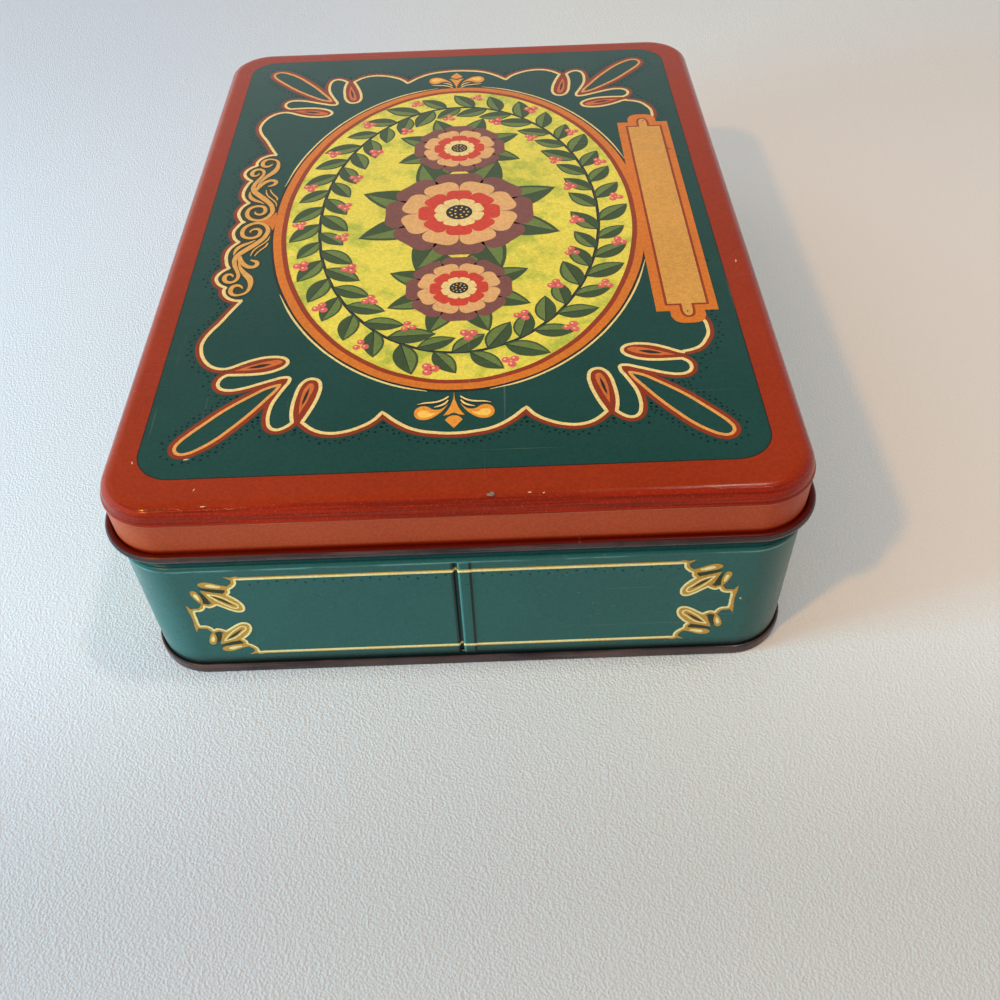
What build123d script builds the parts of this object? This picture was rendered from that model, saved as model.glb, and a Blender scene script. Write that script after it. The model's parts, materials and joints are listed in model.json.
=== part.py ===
"""Rectangular biscuit tin: a drawn lid over a wrapped, lock-seamed body with a double-seamed bottom.

Millimetres. X is the tin's short side, Y its long side, +Z up, and the origin is the centre of its base.
Every sheet is drawn as its middle line: straight runs and bends, as the sheet is formed. A profile holds
(offset, height) pairs, where offset 0 is the outer face of the body's wall and positive is outwards.
"""

from build123d import *
import math
import os

os.makedirs("parts", exist_ok=True)

# Overall sizes of the body
body_width = 177.7
body_length = 247.4
body_height = 64.7
body_corner = 15.3
gauge = 0.28

# Faces tighter than this radius are drawn in flat facets, at most so long and so many degrees each, to keep
# the model light
true_arc_radius = 3.5
facet_length = 1.0
facet_turn = 45

# Body: the neck that goes inside the lid, and the bead where the wall steps out to full width
neck_step = 0.95
bead_height = 43.9
bead_rise = 0.3
bead_bend = 0.7
top_curl_bend = 0.95
top_curl_turn = 300

# Double seam at the base: five sheets side by side, hooked into each other
seam_gap = 0.05
seam_height = 3.4
seam_foot_bend = 0.42
hook_end_gap = 0.1

# Bottom panel, recessed behind the double seam, with one stepped ring
panel_height = 4.0
panel_bend = 0.8
panel_margin = 5.0
panel_step = 0.9
panel_step_bend = 0.9
panel_land = 2.0

# Lock seam up the front of the body: two edges folded back and hooked together
lock_gap = 0.04
lock_left = -1.25
lock_right = 2.05
lock_press = 0.12
lock_bend = 0.4
jog_bend = 0.3
jog_turn = 60
lock_margin = 2.0
lock_end_gap = 0.2

# Lid: its clearances to the body, the shoulder, the ledge bead under it, the skirt and its outward curl
lid_clearance = 0.45
lid_seat_gap = 0.3
lid_depth = 16.9
shoulder_radius = 3.7
shoulder_set_in = 0.25
ledge_rise = 0.2
ledge_bend = 0.5
lid_land = 1.0
lid_curl_bend = 1.15
lid_curl_turn = 300

# Places worked out from the sizes above
half_width = body_width / 2
half_length = body_length / 2
half_gauge = gauge / 2
seam_pitch = gauge + seam_gap
wall_middle = -half_gauge
shoulder_foot = -neck_step + lid_clearance + half_gauge
skirt_middle = shoulder_foot + shoulder_set_in


def seated_lid_top():
    """Height of the lid's top once its shoulder has come down on the body's top curl, less the seat gap."""
    curl_radius = top_curl_bend + half_gauge
    reach = shoulder_radius - gauge - curl_radius - lid_seat_gap
    across = reach + lid_seat_gap - lid_clearance
    rise = math.sqrt(reach**2 - across**2)
    return body_height - curl_radius - rise + shoulder_radius


lid_top = seated_lid_top()


def joggle(shift, bend):
    """Angle that two equal and opposite bends turn through to move a sheet sideways by shift."""
    return math.degrees(math.acos(1 - shift / (2 * bend)))


def joggle_run(bend, turn):
    """Length along the sheet's own direction that such a pair of bends takes up."""
    return 2 * bend * math.sin(math.radians(turn))


def strip(start, heading, steps):
    """Face of a bent sheet. A step is a straight run's length, or a (radius, degrees) bend, left positive."""
    x, y = start
    edges = []
    ends = []

    def bend_edges(centre, rim, angle, turn):
        if rim > true_arc_radius:
            return [CenterArc(centre, rim, angle, turn)]
        arc_length = rim * math.radians(abs(turn))
        count = math.ceil(max(abs(turn) / facet_turn, arc_length / facet_length))
        angles = [math.radians(angle + turn * i / count) for i in range(count + 1)]
        corners = [(centre[0] + rim * math.cos(a), centre[1] + rim * math.sin(a)) for a in angles]
        return [Line(*pair) for pair in zip(corners, corners[1:])]

    def side_points():
        across = math.radians(heading + 90)
        dx, dy = half_gauge * math.cos(across), half_gauge * math.sin(across)
        return (x + dx, y + dy), (x - dx, y - dy)

    ends.append(side_points())
    for step in steps:
        before = side_points()
        if isinstance(step, tuple):
            radius, turn = step
            side = math.copysign(1, turn)
            outward = heading - 90 * side
            centre_x = x - radius * math.cos(math.radians(outward))
            centre_y = y - radius * math.sin(math.radians(outward))
            for rim in (radius - side * half_gauge, radius + side * half_gauge):
                edges += bend_edges((centre_x, centre_y), rim, outward, turn)
            x = centre_x + radius * math.cos(math.radians(outward + turn))
            y = centre_y + radius * math.sin(math.radians(outward + turn))
            heading += turn
        else:
            x += step * math.cos(math.radians(heading))
            y += step * math.sin(math.radians(heading))
            after = side_points()
            edges += [Line(before[0], after[0]), Line(before[1], after[1])]
    ends.append(side_points())
    edges += [Line(*pair) for pair in ends]
    return make_face(edges)


def round_the_tin(profile):
    """Carry a profile right round the rounded rectangle: four straight sides and four turned corners."""
    straight_x = half_width - body_corner
    straight_y = half_length - body_corner
    on_side = Plane.XZ * Pos(half_width, 0) * profile
    side = extrude(on_side, amount=straight_y, both=True)
    end = Rot(0, 0, 90) * extrude(Plane.XZ * Pos(half_length, 0) * profile, amount=straight_x, both=True)
    corner_axis = Axis((straight_x, straight_y, 0), (0, 0, 1))
    corner = revolve(Pos(0, straight_y, 0) * on_side, axis=corner_axis, revolution_arc=90)
    ring_pieces = [side, end, corner]
    ring_pieces += [mirror(piece, about=Plane.YZ) for piece in (side, corner)]
    ring_pieces += [mirror(piece, about=Plane.XZ) for piece in (end, corner)]
    ring_pieces.append(mirror(mirror(corner, about=Plane.YZ), about=Plane.XZ))
    ring = ring_pieces[0]
    for piece in ring_pieces[1:]:
        ring = ring + piece
    return ring


def centre_plate(offset, middle_height):
    """Flat sheet that fills a ring whose inner edge lies at this offset."""
    outline = RectangleRounded(body_width + 2 * offset, body_length + 2 * offset, body_corner + offset)
    return extrude(Pos(0, 0, middle_height - half_gauge) * outline, amount=gauge)


def make_lid():
    """Flat top, shoulder, ledge bead, skirt and a curl rolled outwards, from one sheet."""
    shoulder_bend = shoulder_radius - half_gauge
    plate_edge = shoulder_foot - shoulder_bend - lid_land
    ledge_out = joggle(shoulder_set_in + ledge_rise, ledge_bend)
    ledge_back = joggle(ledge_rise, ledge_bend)
    ledge_run = joggle_run(ledge_bend, ledge_out) + joggle_run(ledge_bend, ledge_back)
    top_middle = lid_top - half_gauge
    curl_centre = lid_top - lid_depth + lid_curl_bend + half_gauge
    skirt_run = top_middle - shoulder_bend - ledge_run - curl_centre
    profile = strip((plate_edge, top_middle), 0, [
        lid_land,
        (shoulder_bend, -90),
        (ledge_bend, ledge_out),
        (ledge_bend, -ledge_out - ledge_back),
        (ledge_bend, ledge_back),
        skirt_run,
        (lid_curl_bend, lid_curl_turn),
    ])
    return round_the_tin(profile) + centre_plate(plate_edge, top_middle)


def make_body_wall():
    """Bottom hook, wall, bead, neck and top curl of one strip, closed by the lock seam at the front."""
    fold_centre = gauge + seam_gap + seam_pitch + half_gauge
    hook_top = seam_height - seam_pitch - half_gauge - hook_end_gap
    out_turn = joggle(bead_rise, bead_bend)
    in_turn = joggle(bead_rise + neck_step, bead_bend)
    bead_run = joggle_run(bead_bend, out_turn) + joggle_run(bead_bend, in_turn)
    curl_centre = body_height - top_curl_bend - half_gauge
    hook_middle = wall_middle + 2 * seam_pitch
    profile = strip((hook_middle, hook_top), -90, [
        hook_top - fold_centre,
        (seam_pitch, -180),
        bead_height - fold_centre,
        (bead_bend, -out_turn),
        (bead_bend, out_turn + in_turn),
        (bead_bend, -in_turn),
        curl_centre - bead_height - bead_run,
        (top_curl_bend, top_curl_turn),
    ])
    return cut_lock_window(round_the_tin(profile)) + lock_seam()


def lock_span():
    """Left and right ends, and lower and upper ends, of the stretch of wall that the lock seam replaces."""
    left = lock_left - lock_margin
    right = lock_right + lock_margin
    return left, right, panel_height + half_gauge + lock_end_gap, bead_height


def cut_lock_window(wall):
    left, right, low, high = lock_span()
    window = Box(right - left, 4 * gauge, high - low, align=(Align.MIN, Align.CENTER, Align.MIN))
    return wall - Pos(left, -half_length - wall_middle, low) * window


def lock_seam():
    """The strip's two edges, each folded back on itself and hooked into the other."""
    left, right, low, high = lock_span()
    pitch = gauge + lock_gap
    face_middle = -half_length - wall_middle
    fold = pitch + half_gauge
    left_fold = lock_left + fold
    right_fold = lock_right - fold
    reach = right_fold - left_fold - gauge

    # The right edge: pressed slightly proud, then folded inwards and back
    press_turn = joggle(lock_press, lock_bend)
    press_run = joggle_run(lock_bend, press_turn)
    outer_hook = strip((right, face_middle), 180, [
        right - lock_right - press_run,
        (lock_bend, press_turn),
        (lock_bend, -press_turn),
        lock_right - left_fold,
        (pitch, -180),
        reach,
    ])

    # The left edge: set in under the other, then folded outwards and back between its two layers
    depth = 3 * pitch - lock_press
    bend_rise = 2 * jog_bend * (1 - math.cos(math.radians(jog_turn)))
    slope = (depth - bend_rise) / math.sin(math.radians(jog_turn))
    jog_run = joggle_run(jog_bend, jog_turn) + slope * math.cos(math.radians(jog_turn))
    clear = (fold + half_gauge + lock_gap) / math.sin(math.radians(jog_turn))
    jog_start = left_fold - clear - jog_run / 2
    inner_hook = strip((left, face_middle), 0, [
        jog_start - left,
        (jog_bend, jog_turn),
        slope,
        (jog_bend, -jog_turn),
        right_fold - jog_start - jog_run,
        (pitch, -180),
        reach,
    ])
    return extrude(Pos(0, 0, low) * (outer_hook + inner_hook), amount=high - low)


def make_bottom_panel():
    """Stepped panel, chuck wall, foot and cover hook of the pressed end."""
    chuck_middle = wall_middle - seam_pitch
    foot_run = 4 * seam_pitch - 2 * seam_foot_bend
    foot_centre = half_gauge + seam_foot_bend
    cover_fold = seam_height - seam_pitch - half_gauge
    hook_end = gauge + seam_gap + seam_pitch + half_gauge + hook_end_gap
    step_turn = joggle(panel_step, panel_step_bend)
    step_run = joggle_run(panel_step_bend, step_turn)
    plate_edge = chuck_middle - panel_bend - panel_margin - step_run - panel_land
    profile = strip((plate_edge, panel_height + panel_step), 0, [
        panel_land,
        (panel_step_bend, -step_turn),
        (panel_step_bend, step_turn),
        panel_margin,
        (panel_bend, -90),
        panel_height - panel_bend - foot_centre,
        (seam_foot_bend, 90),
        foot_run,
        (seam_foot_bend, 90),
        cover_fold - foot_centre,
        (seam_pitch, 180),
        cover_fold - hook_end,
    ])
    return round_the_tin(profile) + centre_plate(plate_edge, panel_height + panel_step)


for name, make in (("lid", make_lid), ("body_wall", make_body_wall), ("bottom_panel", make_bottom_panel)):
    piece = make()
    export_step(piece, f"parts/{name}.step")
    size = piece.bounding_box().size
    print(f"{name}: {size.X:.2f} x {size.Y:.2f} x {size.Z:.2f} mm, {piece.volume / 1000:.2f} cm3")
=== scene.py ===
# %% [markdown]
# # A lithographed biscuit tin
# The tin is three pressed sheets: a lift-off lid, a wrapped body with a lock seam at the front, and a
# bottom panel that is double-seamed to the body. The CAD frame gives their places. Each sheet is rebuilt
# here with finer bends, and the print is laid on it as thin films of ink, so that its edges stay sharp at
# any distance.

# %% Load the frame
import json
import math
import bpy
from mathutils import Matrix, Vector

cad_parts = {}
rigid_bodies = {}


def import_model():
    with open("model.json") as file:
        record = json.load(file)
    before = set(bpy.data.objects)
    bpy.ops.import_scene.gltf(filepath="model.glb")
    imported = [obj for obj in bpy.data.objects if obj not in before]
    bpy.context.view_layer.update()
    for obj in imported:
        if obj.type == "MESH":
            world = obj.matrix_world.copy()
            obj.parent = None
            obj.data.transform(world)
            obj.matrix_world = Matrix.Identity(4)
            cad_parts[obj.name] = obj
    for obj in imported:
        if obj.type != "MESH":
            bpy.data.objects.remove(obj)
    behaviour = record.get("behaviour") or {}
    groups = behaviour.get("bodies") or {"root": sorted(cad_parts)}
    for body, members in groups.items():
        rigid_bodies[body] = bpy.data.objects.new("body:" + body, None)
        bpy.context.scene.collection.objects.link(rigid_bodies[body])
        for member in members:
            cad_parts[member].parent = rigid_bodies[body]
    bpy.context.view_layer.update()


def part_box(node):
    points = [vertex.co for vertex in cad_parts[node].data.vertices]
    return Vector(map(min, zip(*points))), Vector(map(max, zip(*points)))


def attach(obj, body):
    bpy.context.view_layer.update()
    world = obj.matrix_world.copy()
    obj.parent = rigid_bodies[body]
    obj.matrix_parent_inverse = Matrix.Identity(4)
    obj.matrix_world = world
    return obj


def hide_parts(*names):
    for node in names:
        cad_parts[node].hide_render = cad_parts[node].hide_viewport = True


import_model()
MM = 0.001
scene = bpy.context.scene

# %% [markdown]
# The camera stands in front of the tin's short side and looks down at it. Its place and lens were found
# from the lid's outline in the photograph. A matrix is used, because the camera is turned a little about
# its own line of sight, which a plain look-at rotation would lose.

# %% Camera
camera_place = Vector((11.13, -288.28, 245.6)) * MM
camera_forward = Vector((-0.0033, 0.6771, -0.7359)).normalized()
camera_right = Vector((0.9993, -0.0249, -0.0274)).normalized()
camera_up = camera_right.cross(camera_forward).normalized()
bpy.ops.object.camera_add()
camera = bpy.context.object
camera.name = "photo_camera"
camera.data.sensor_width = 36
camera.data.lens = 37.05
camera.data.clip_start = 0.01
turn = Matrix((camera_right, camera_up, -camera_forward)).transposed().to_4x4()
camera.matrix_world = Matrix.Translation(camera_place) @ turn
scene.camera = camera
print("camera at", [round(v, 4) for v in camera.location], "lens", camera.data.lens)

# %% [markdown]
# Every finish below is a Principled shader with the same few steps: make nodes, name their inputs, link
# them. Short helpers keep each cell about the finish itself. Colours are written as they look on a
# screen, 0 to 255, and turned into the linear values that Blender works in.


# %% Helpers for nodes
def screen(red, green, blue):
    """A screen colour as the linear colour that shaders take."""
    def linear(value):
        v = value / 255
        return v / 12.92 if v <= 0.04045 else ((v + 0.055) / 1.055) ** 2.4
    return (linear(red), linear(green), linear(blue), 1.0)


def feed(tree, socket, value):
    """Gives an input socket its value: another socket is linked to it, a number or a colour is stored."""
    if isinstance(value, bpy.types.NodeSocket):
        tree.links.new(value, socket)
    else:
        socket.default_value = value


def add(tree, kind, **inputs):
    """A new node with its inputs set by name."""
    node = tree.nodes.new(kind)
    for key, value in inputs.items():
        feed(tree, node.inputs[key.replace("_", " ")], value)
    return node


def maths(tree, operation, first, second=0.0):
    """A Math node on two numbers or sockets."""
    node = tree.nodes.new("ShaderNodeMath")
    node.operation = operation
    for socket, value in zip(node.inputs, (first, second)):
        feed(tree, socket, value)
    return node.outputs[0]


def times(tree, first, second):
    """The product of two numbers or sockets."""
    return maths(tree, "MULTIPLY", first, second)


def ramp(tree, value, low, high, out_low=0.0, out_high=1.0, smooth=True):
    """Value from low to high becomes out_low to out_high."""
    node = add(tree, "ShaderNodeMapRange", Value=value, From_Min=low, From_Max=high, To_Min=out_low,
               To_Max=out_high)
    if smooth:
        node.interpolation_type = "SMOOTHSTEP"
    return node.outputs["Result"]


def mix(tree, factor, first, second, blend="MIX"):
    """Two colours, or a colour and a socket, mixed by a factor."""
    node = tree.nodes.new("ShaderNodeMix")
    node.data_type = "RGBA"
    node.blend_type = blend
    for key, value in ((0, factor), (6, first), (7, second)):
        feed(tree, node.inputs[key], value)
    return node.outputs[2]


def tint(tree, under, mask, share, color):
    """Lays a screen colour over another where a mask is on, at a share of its strength."""
    return mix(tree, times(tree, mask, share), under, screen(*color))


print("a middle grey on a screen is", round(screen(128, 128, 128)[0], 3), "to a shader")

# %% [markdown]
# A material is made with its tree at hand. Noise is laid on the piece's own coordinates, so that it rides
# with the piece, and runs in streaks where those are scaled unevenly.


# %% Helpers for materials
def noise(tree, place, scale, detail=3.0, roughness=0.55):
    """Soft clouds from 0 to 1, this many to the metre."""
    node = add(tree, "ShaderNodeTexNoise", Vector=place, Scale=scale, Detail=detail, Roughness=roughness)
    return node.outputs[0]


def stretched(tree, place, x, y, z):
    """Object coordinates scaled unevenly, so that a noise on them runs in streaks."""
    return add(tree, "ShaderNodeMapping", Vector=place, Scale=(x, y, z)).outputs[0]


def relief(tree, shader, strength, distance, height):
    """Gives a shader a fine bump, with its distance in metres."""
    bump = add(tree, "ShaderNodeBump", Strength=strength, Distance=distance, Height=height)
    tree.links.new(bump.outputs[0], shader.inputs["Normal"])


def new_material(name):
    """An empty finish: its material, its tree, its shader and the piece's own coordinates."""
    material = bpy.data.materials.new(name)
    material.use_nodes = True
    tree = material.node_tree
    shader = tree.nodes["Principled BSDF"]
    place = tree.nodes.new("ShaderNodeTexCoord").outputs["Object"]
    return material, tree, shader, place


def opened(material):
    """What a cell adds to in a finished ink: its tree, its wear group and the piece's own coordinates."""
    tree = material.node_tree
    worn = next(node for node in tree.nodes if node.type == "GROUP")
    return tree, worn, tree.nodes.new("ShaderNodeTexCoord").outputs["Object"]


print("material helpers ready")

# %% [markdown]
# A cool window stands low at the left, a small warm lamp at the front left throws the shadow to the back
# right, a lamp overhead glints on the shoulder, and the room fills the rest. The room is paler near the
# floor than overhead, as a room with white walls is, so a glossy lid mirrors more of it towards its far
# edge. The window stands in for a wide dim pane, so its own small bright square is kept out of
# reflections. Low in front, where whoever looks at the tin stands, the room is dim. Standard view keeps
# the colours as written.

# %% Lights and world
scene.view_settings.view_transform = "Standard"


def soft_lamp(name, place, aim, size, power, color):
    """A square area lamp at one point, facing another."""
    bpy.ops.object.light_add(type="AREA", location=Vector(place))
    lamp = bpy.context.object
    lamp.name = name
    lamp.data.size = size
    lamp.data.energy = power
    lamp.data.color = color
    lamp.visible_camera = False
    lamp.rotation_euler = (Vector(aim) - Vector(place)).to_track_quat("-Z", "Y").to_euler()
    return lamp


window_lamp = soft_lamp("window", (-0.9, -0.3, 0.18), (0, 0, 0.03), 0.3, 15.5, (0.2, 0.72, 0.98))
window_lamp.visible_glossy = False
soft_lamp("lamp", (-0.62, -0.62, 0.98), (0, 0, 0.03), 0.07, 5.2, (1.0, 0.47, 0.08))
soft_lamp("ceiling_lamp", (0.4, -0.1, 1.35), (0, 0, 0.03), 0.12, 3.2, (1.0, 0.94, 0.86))
world = bpy.data.worlds.new("pale_room")
scene.world = world
world.use_nodes = True
room = world.node_tree
view = room.nodes.new("ShaderNodeTexCoord").outputs["Generated"]
toward = add(room, "ShaderNodeSeparateXYZ", Vector=view).outputs
strength = ramp(room, toward["Z"], 0.2, 0.75, 1.15, 0.45, smooth=False)
for side in (ramp(room, toward["X"], -0.4, 0.4, 1.2, 0.75, smooth=False),
             ramp(room, toward["Y"], -0.95, -0.35, 0.4, 1.0, smooth=False)):
    strength = times(room, strength, side)
backdrop = room.nodes["Background"]
room.links.new(strength, backdrop.inputs["Strength"])
backdrop.inputs["Color"].default_value = (0.98, 0.99, 1.0, 1)

# %% [markdown]
# Fine wear is the same on every printed sheet, so it is one node group: a grainy printed tone, soft
# clouds in the varnish, hairline scratches and a few pale flecks where the ink has come off. It puts out
# only what varies over the surface. Steady values, such as how strongly the varnish shines, are set on
# each shader.


# %% Node group: worn print
def new_group(name, inputs, outputs):
    """A node group with its sockets: its tree, what it takes and what it gives."""
    tree = bpy.data.node_groups.new(name, "ShaderNodeTree")
    for titles, side in ((inputs, "INPUT"), (outputs, "OUTPUT")):
        for title, kind in titles:
            tree.interface.new_socket(name=title, in_out=side, socket_type="NodeSocket" + kind)
    return tree, tree.nodes.new("NodeGroupInput"), tree.nodes.new("NodeGroupOutput")


worn_print, taken, given = new_group("worn_print", [("Ink", "Color")],
                                     [("Color", "Color"), ("Roughness", "Float"), ("Height", "Float")])
place = worn_print.nodes.new("ShaderNodeTexCoord").outputs["Object"]
grain = noise(worn_print, place, 1300, 2)
clouds = noise(worn_print, place, 38, 3)
patchy = ramp(worn_print, clouds, 0.3, 0.7, 0.96, 1.04)
tone = maths(worn_print, "ADD", ramp(worn_print, grain, 0.3, 0.7, -0.11, 0.11), patchy)
inked = mix(worn_print, 1.0, taken.outputs["Ink"], tone, "MULTIPLY")
hairs_x = ramp(worn_print, noise(worn_print, stretched(worn_print, place, 18, 900, 900), 1.0, 2), 0.68, 0.72)
hairs_y = ramp(worn_print, noise(worn_print, stretched(worn_print, place, 700, 14, 700), 1.0, 2), 0.69, 0.73)
rubbed = ramp(worn_print, noise(worn_print, place, 22, 2), 0.5, 0.68)
hairs = times(worn_print, maths(worn_print, "MAXIMUM", hairs_x, hairs_y), rubbed)
spots = add(worn_print, "ShaderNodeTexVoronoi", Vector=place, Scale=70.0)
chosen = ramp(worn_print, spots.outputs["Color"], 0.8, 0.82, smooth=False)
ragged = ramp(worn_print, noise(worn_print, place, 2500, 2), 0, 1, -0.012, 0.012)
fleck_edge = maths(worn_print, "ADD", spots.outputs["Distance"], ragged)
flecks = times(worn_print, ramp(worn_print, fleck_edge, 0.012, 0.02, 1.0, 0.0), chosen)
scratched = tint(worn_print, inked, hairs, 0.1, (190, 180, 165))
chipped = mix(worn_print, flecks, scratched, screen(205, 190, 170))
worn_print.links.new(chipped, given.inputs["Color"])
dulled = times(worn_print, hairs, 0.15)
shine = maths(worn_print, "ADD", ramp(worn_print, clouds, 0.25, 0.75, 0.22, 0.36), dulled)
worn_print.links.new(shine, given.inputs["Roughness"])
peel = times(worn_print, noise(worn_print, place, 420, 2), 0.6)
dents = times(worn_print, maths(worn_print, "ADD", hairs, flecks), -0.5)
worn_print.links.new(maths(worn_print, "ADD", peel, dents), given.inputs["Height"])
print("worn print group:", len(worn_print.nodes), "nodes")

# %% [markdown]
# Every colour of ink is the same material with another colour, so that films that touch share their wear.
# A bump of a few microns gives the varnish its orange peel.


# %% Inks
def ink(name, red, green, blue, shine=0.22):
    """A printed ink of one screen colour. Shine is how strongly its varnish mirrors the room."""
    material, tree, shader, place = new_material(name)
    worn = tree.nodes.new("ShaderNodeGroup")
    worn.node_tree = worn_print
    worn.inputs["Ink"].default_value = screen(red, green, blue)
    tree.links.new(worn.outputs["Color"], shader.inputs["Base Color"])
    tree.links.new(worn.outputs["Roughness"], shader.inputs["Roughness"])
    relief(tree, shader, 0.25, 0.00006, worn.outputs["Height"])
    shader.inputs["Specular IOR Level"].default_value = shine
    return material


green_finish = ink("panel_green", 12, 64, 56)
dark_finish = ink("ink_dark", 34, 32, 24)
speck_finish = ink("ink_speck", 6, 22, 34, 0.15)
shade_finish = ink("ink_brown", 140, 48, 12)
salmon_finish = ink("ink_salmon", 226, 154, 76)
cream_finish = ink("ink_cream", 236, 206, 134)
leaf_orange_finish = ink("ink_leaf_orange", 205, 105, 45)
orange_finish = ink("ink_orange", 212, 114, 28)
palmette_finish = ink("ink_palmette", 230, 146, 48)
oval_red_finish = ink("ink_oval_red", 146, 52, 16)
scroll_finish = ink("ink_scroll", 222, 160, 78)
field_finish = ink("ink_field", 214, 153, 68)
drop_finish = ink("ink_drop", 250, 195, 85)
olive_finish = ink("ink_olive", 46, 52, 28)
leaf_finish = ink("ink_leaf", 58, 78, 42)
leaf_light_finish = ink("ink_leaf_light", 104, 122, 58)
leaf_dark_finish = ink("ink_leaf_dark", 34, 38, 38)
berry_finish = ink("ink_berry", 222, 96, 92)
plum_finish = ink("ink_plum", 126, 74, 66)
brick_finish = ink("ink_brick", 208, 62, 40)
sand_finish = ink("ink_sand", 226, 170, 108)
gold_finish = ink("ink_gold", 200, 144, 54)
pale_gold_finish = ink("ink_pale_gold", 250, 222, 152)
wear_finish = ink("bared_spot", 128, 116, 108)
pale_chip_finish = ink("pale_chip", 224, 178, 150)
print("inks:", sum(m.name.startswith("ink_") for m in bpy.data.materials))

# %% [markdown]
# The ground of the oval isn't one flat ink: darker green is dabbed over a yellow one, as with a sponge.
# The ink material takes any colour, so the dabs are mixed outside its group and fed to it.

# %% Meadow ink
meadow_finish = ink("ink_meadow", 222, 206, 74)
tree, worn, place = opened(meadow_finish)
dabs = ramp(tree, noise(tree, place, 95, 4, 0.65), 0.45, 0.68)
grass = mix(tree, dabs, screen(232, 212, 78), screen(176, 184, 64))
tree.links.new(grass, worn.inputs["Ink"])
print("meadow ink is dabbed in two greens")

# %% [markdown]
# Some colours change with height. A curve node turns the piece's own height into a value, through steps
# given in mm above the floor.

# %% Values by height
lid_low, lid_high = (corner.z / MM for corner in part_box("lid"))
curl_top = lid_low + 2.6
ledge_height = lid_high - 5.0


def by_height(tree, place, steps):
    """A value that follows the height above the floor, in mm, through (height, value) steps."""
    height = add(tree, "ShaderNodeSeparateXYZ", Vector=place).outputs["Z"]
    curve = tree.nodes.new("ShaderNodeFloatCurve")
    low, high = steps[0][0], steps[-1][0]
    share = maths(tree, "DIVIDE", maths(tree, "SUBTRACT", height, low * MM), (high - low) * MM)
    tree.links.new(share, curve.inputs["Value"])
    points = curve.mapping.curves[0].points
    while len(points) < len(steps):
        points.new(0.5, 0.5)
    for point, (at, value) in zip(points, steps):
        point.location = ((at - low) / (high - low), value)
        point.handle_type = "VECTOR"
    curve.mapping.update()
    return curve.outputs[0]


print("lid from", round(lid_low, 2), "to", round(lid_high, 2), "mm, ledge at", round(ledge_height, 2))

# %% [markdown]
# The lid's red is level on the border, and glossy and streaked over the shoulder, where its deeper red is
# painted shade for the dark room that the gloss mirrors, and its pale specks and the pale line along the
# ledge are painted glints. It is pale and dull on the side, and deep in the hollow above the curl, which is
# painted shade. It ends on the curl's crest, which has a dark red of its own, painted shade where the skirt
# meets the curl.

# %% Red of the lid
border_red = (152, 44, 2)
red_finish = ink("lid_red", *border_red, 0.16)
tree, worn, place = opened(red_finish)
shader = tree.nodes["Principled BSDF"]
side = by_height(tree, place, [(lid_low, 1), (ledge_height - 0.2, 1), (ledge_height + 0.3, 0),
                               (lid_high, 0)])
# Mask of the hollow above the curl, which is darkened with painted shade.
hollow_shade = by_height(tree, place, [(lid_low, 1), (curl_top + 0.1, 1), (curl_top + 1.0, 0), (lid_high, 0)])
shoulder = by_height(tree, place, [(lid_low, 0), (ledge_height, 0), (ledge_height + 0.4, 1),
                                   (lid_high - 0.9, 1), (lid_high - 0.2, 0), (lid_high, 0)])
# Mask of the ledge, where a pale line is painted as a highlight.
ledge = by_height(tree, place, [(lid_low, 0), (ledge_height - 0.35, 0), (ledge_height - 0.05, 1),
                                (ledge_height + 0.3, 0), (lid_high, 0)])
streaks = ramp(tree, noise(tree, stretched(tree, place, 30, 30, 2600), 1.0, 3), 0.4, 0.62)
# Specks that are painted as pale glints on the shoulder.
glint_specks = ramp(tree, noise(tree, place, 2600, 2), 0.6, 0.72)
red = mix(tree, side, screen(*border_red), screen(178, 72, 40))
# Painted shade: the shoulder's deeper red stands in for the dark room that its gloss mirrors.
red = mix(tree, shoulder, red, screen(156, 32, 0))
streaked = times(tree, shoulder, times(tree, streaks, 0.6))
shoulder_glints = times(tree, shoulder, times(tree, glint_specks, 0.4))
red = mix(tree, streaked, red, screen(96, 18, 0))
# Painted highlight: pale pinkish glints speckled over the shoulder.
red = mix(tree, shoulder_glints, red, screen(206, 92, 50))
# Painted highlight: a pale streaked line along the ledge.
red = mix(tree, times(tree, ledge, streaks), red, screen(214, 120, 84))
# Painted shade: a darker red in the hollow above the curl.
red = mix(tree, hollow_shade, red, screen(136, 28, 2))
tree.links.new(red, worn.inputs["Ink"])
gloss = mix(tree, shoulder, worn.outputs["Roughness"], (0.12, 0.12, 0.12, 1))
gloss = mix(tree, side, gloss, (0.42, 0.42, 0.42, 1))
tree.links.new(gloss, shader.inputs["Roughness"])
tree.links.new(times(tree, shoulder, 0.2), shader.inputs["Coat Weight"])
shader.inputs["Coat Roughness"].default_value = 0.08
ridges = times(tree, times(tree, streaks, shoulder), 4.5)
bump = next(node for node in tree.nodes if node.type == "BUMP")
tree.links.new(maths(tree, "ADD", worn.outputs["Height"], ridges), bump.inputs["Height"])
# A dark red for the curl's crest, which is painted shade where the skirt meets the curl.
curl_shade_finish = ink("lid_curl_shade", 84, 10, 0, 0.1)
print("lid red:", len(tree.nodes), "nodes, curl below", round(curl_top, 2), "mm")

# %% [markdown]
# The body's green is rubbed along the bead, where the lid's curl strikes it. Painted shade darkens it just
# above the foot, and a band of painted shade with some dirt darkens it under the lid's curl, where the curl
# comes to rest. All three follow the height above the floor, as the lid's red does.

# %% Green of the body
wall_green = (31, 88, 81)
above_tin = 70
body_finish = ink("body_green", *wall_green, 0.3)
tree, worn, place = opened(body_finish)
bead = by_height(tree, place, [(0, 0), (43.6, 0), (44.2, 1), (44.7, 0), (above_tin, 0)])
# Mask of the painted shade just above the foot.
foot = by_height(tree, place, [(0, 1), (4.6, 1), (6.0, 0.3), (8, 0), (above_tin, 0)])
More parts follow.
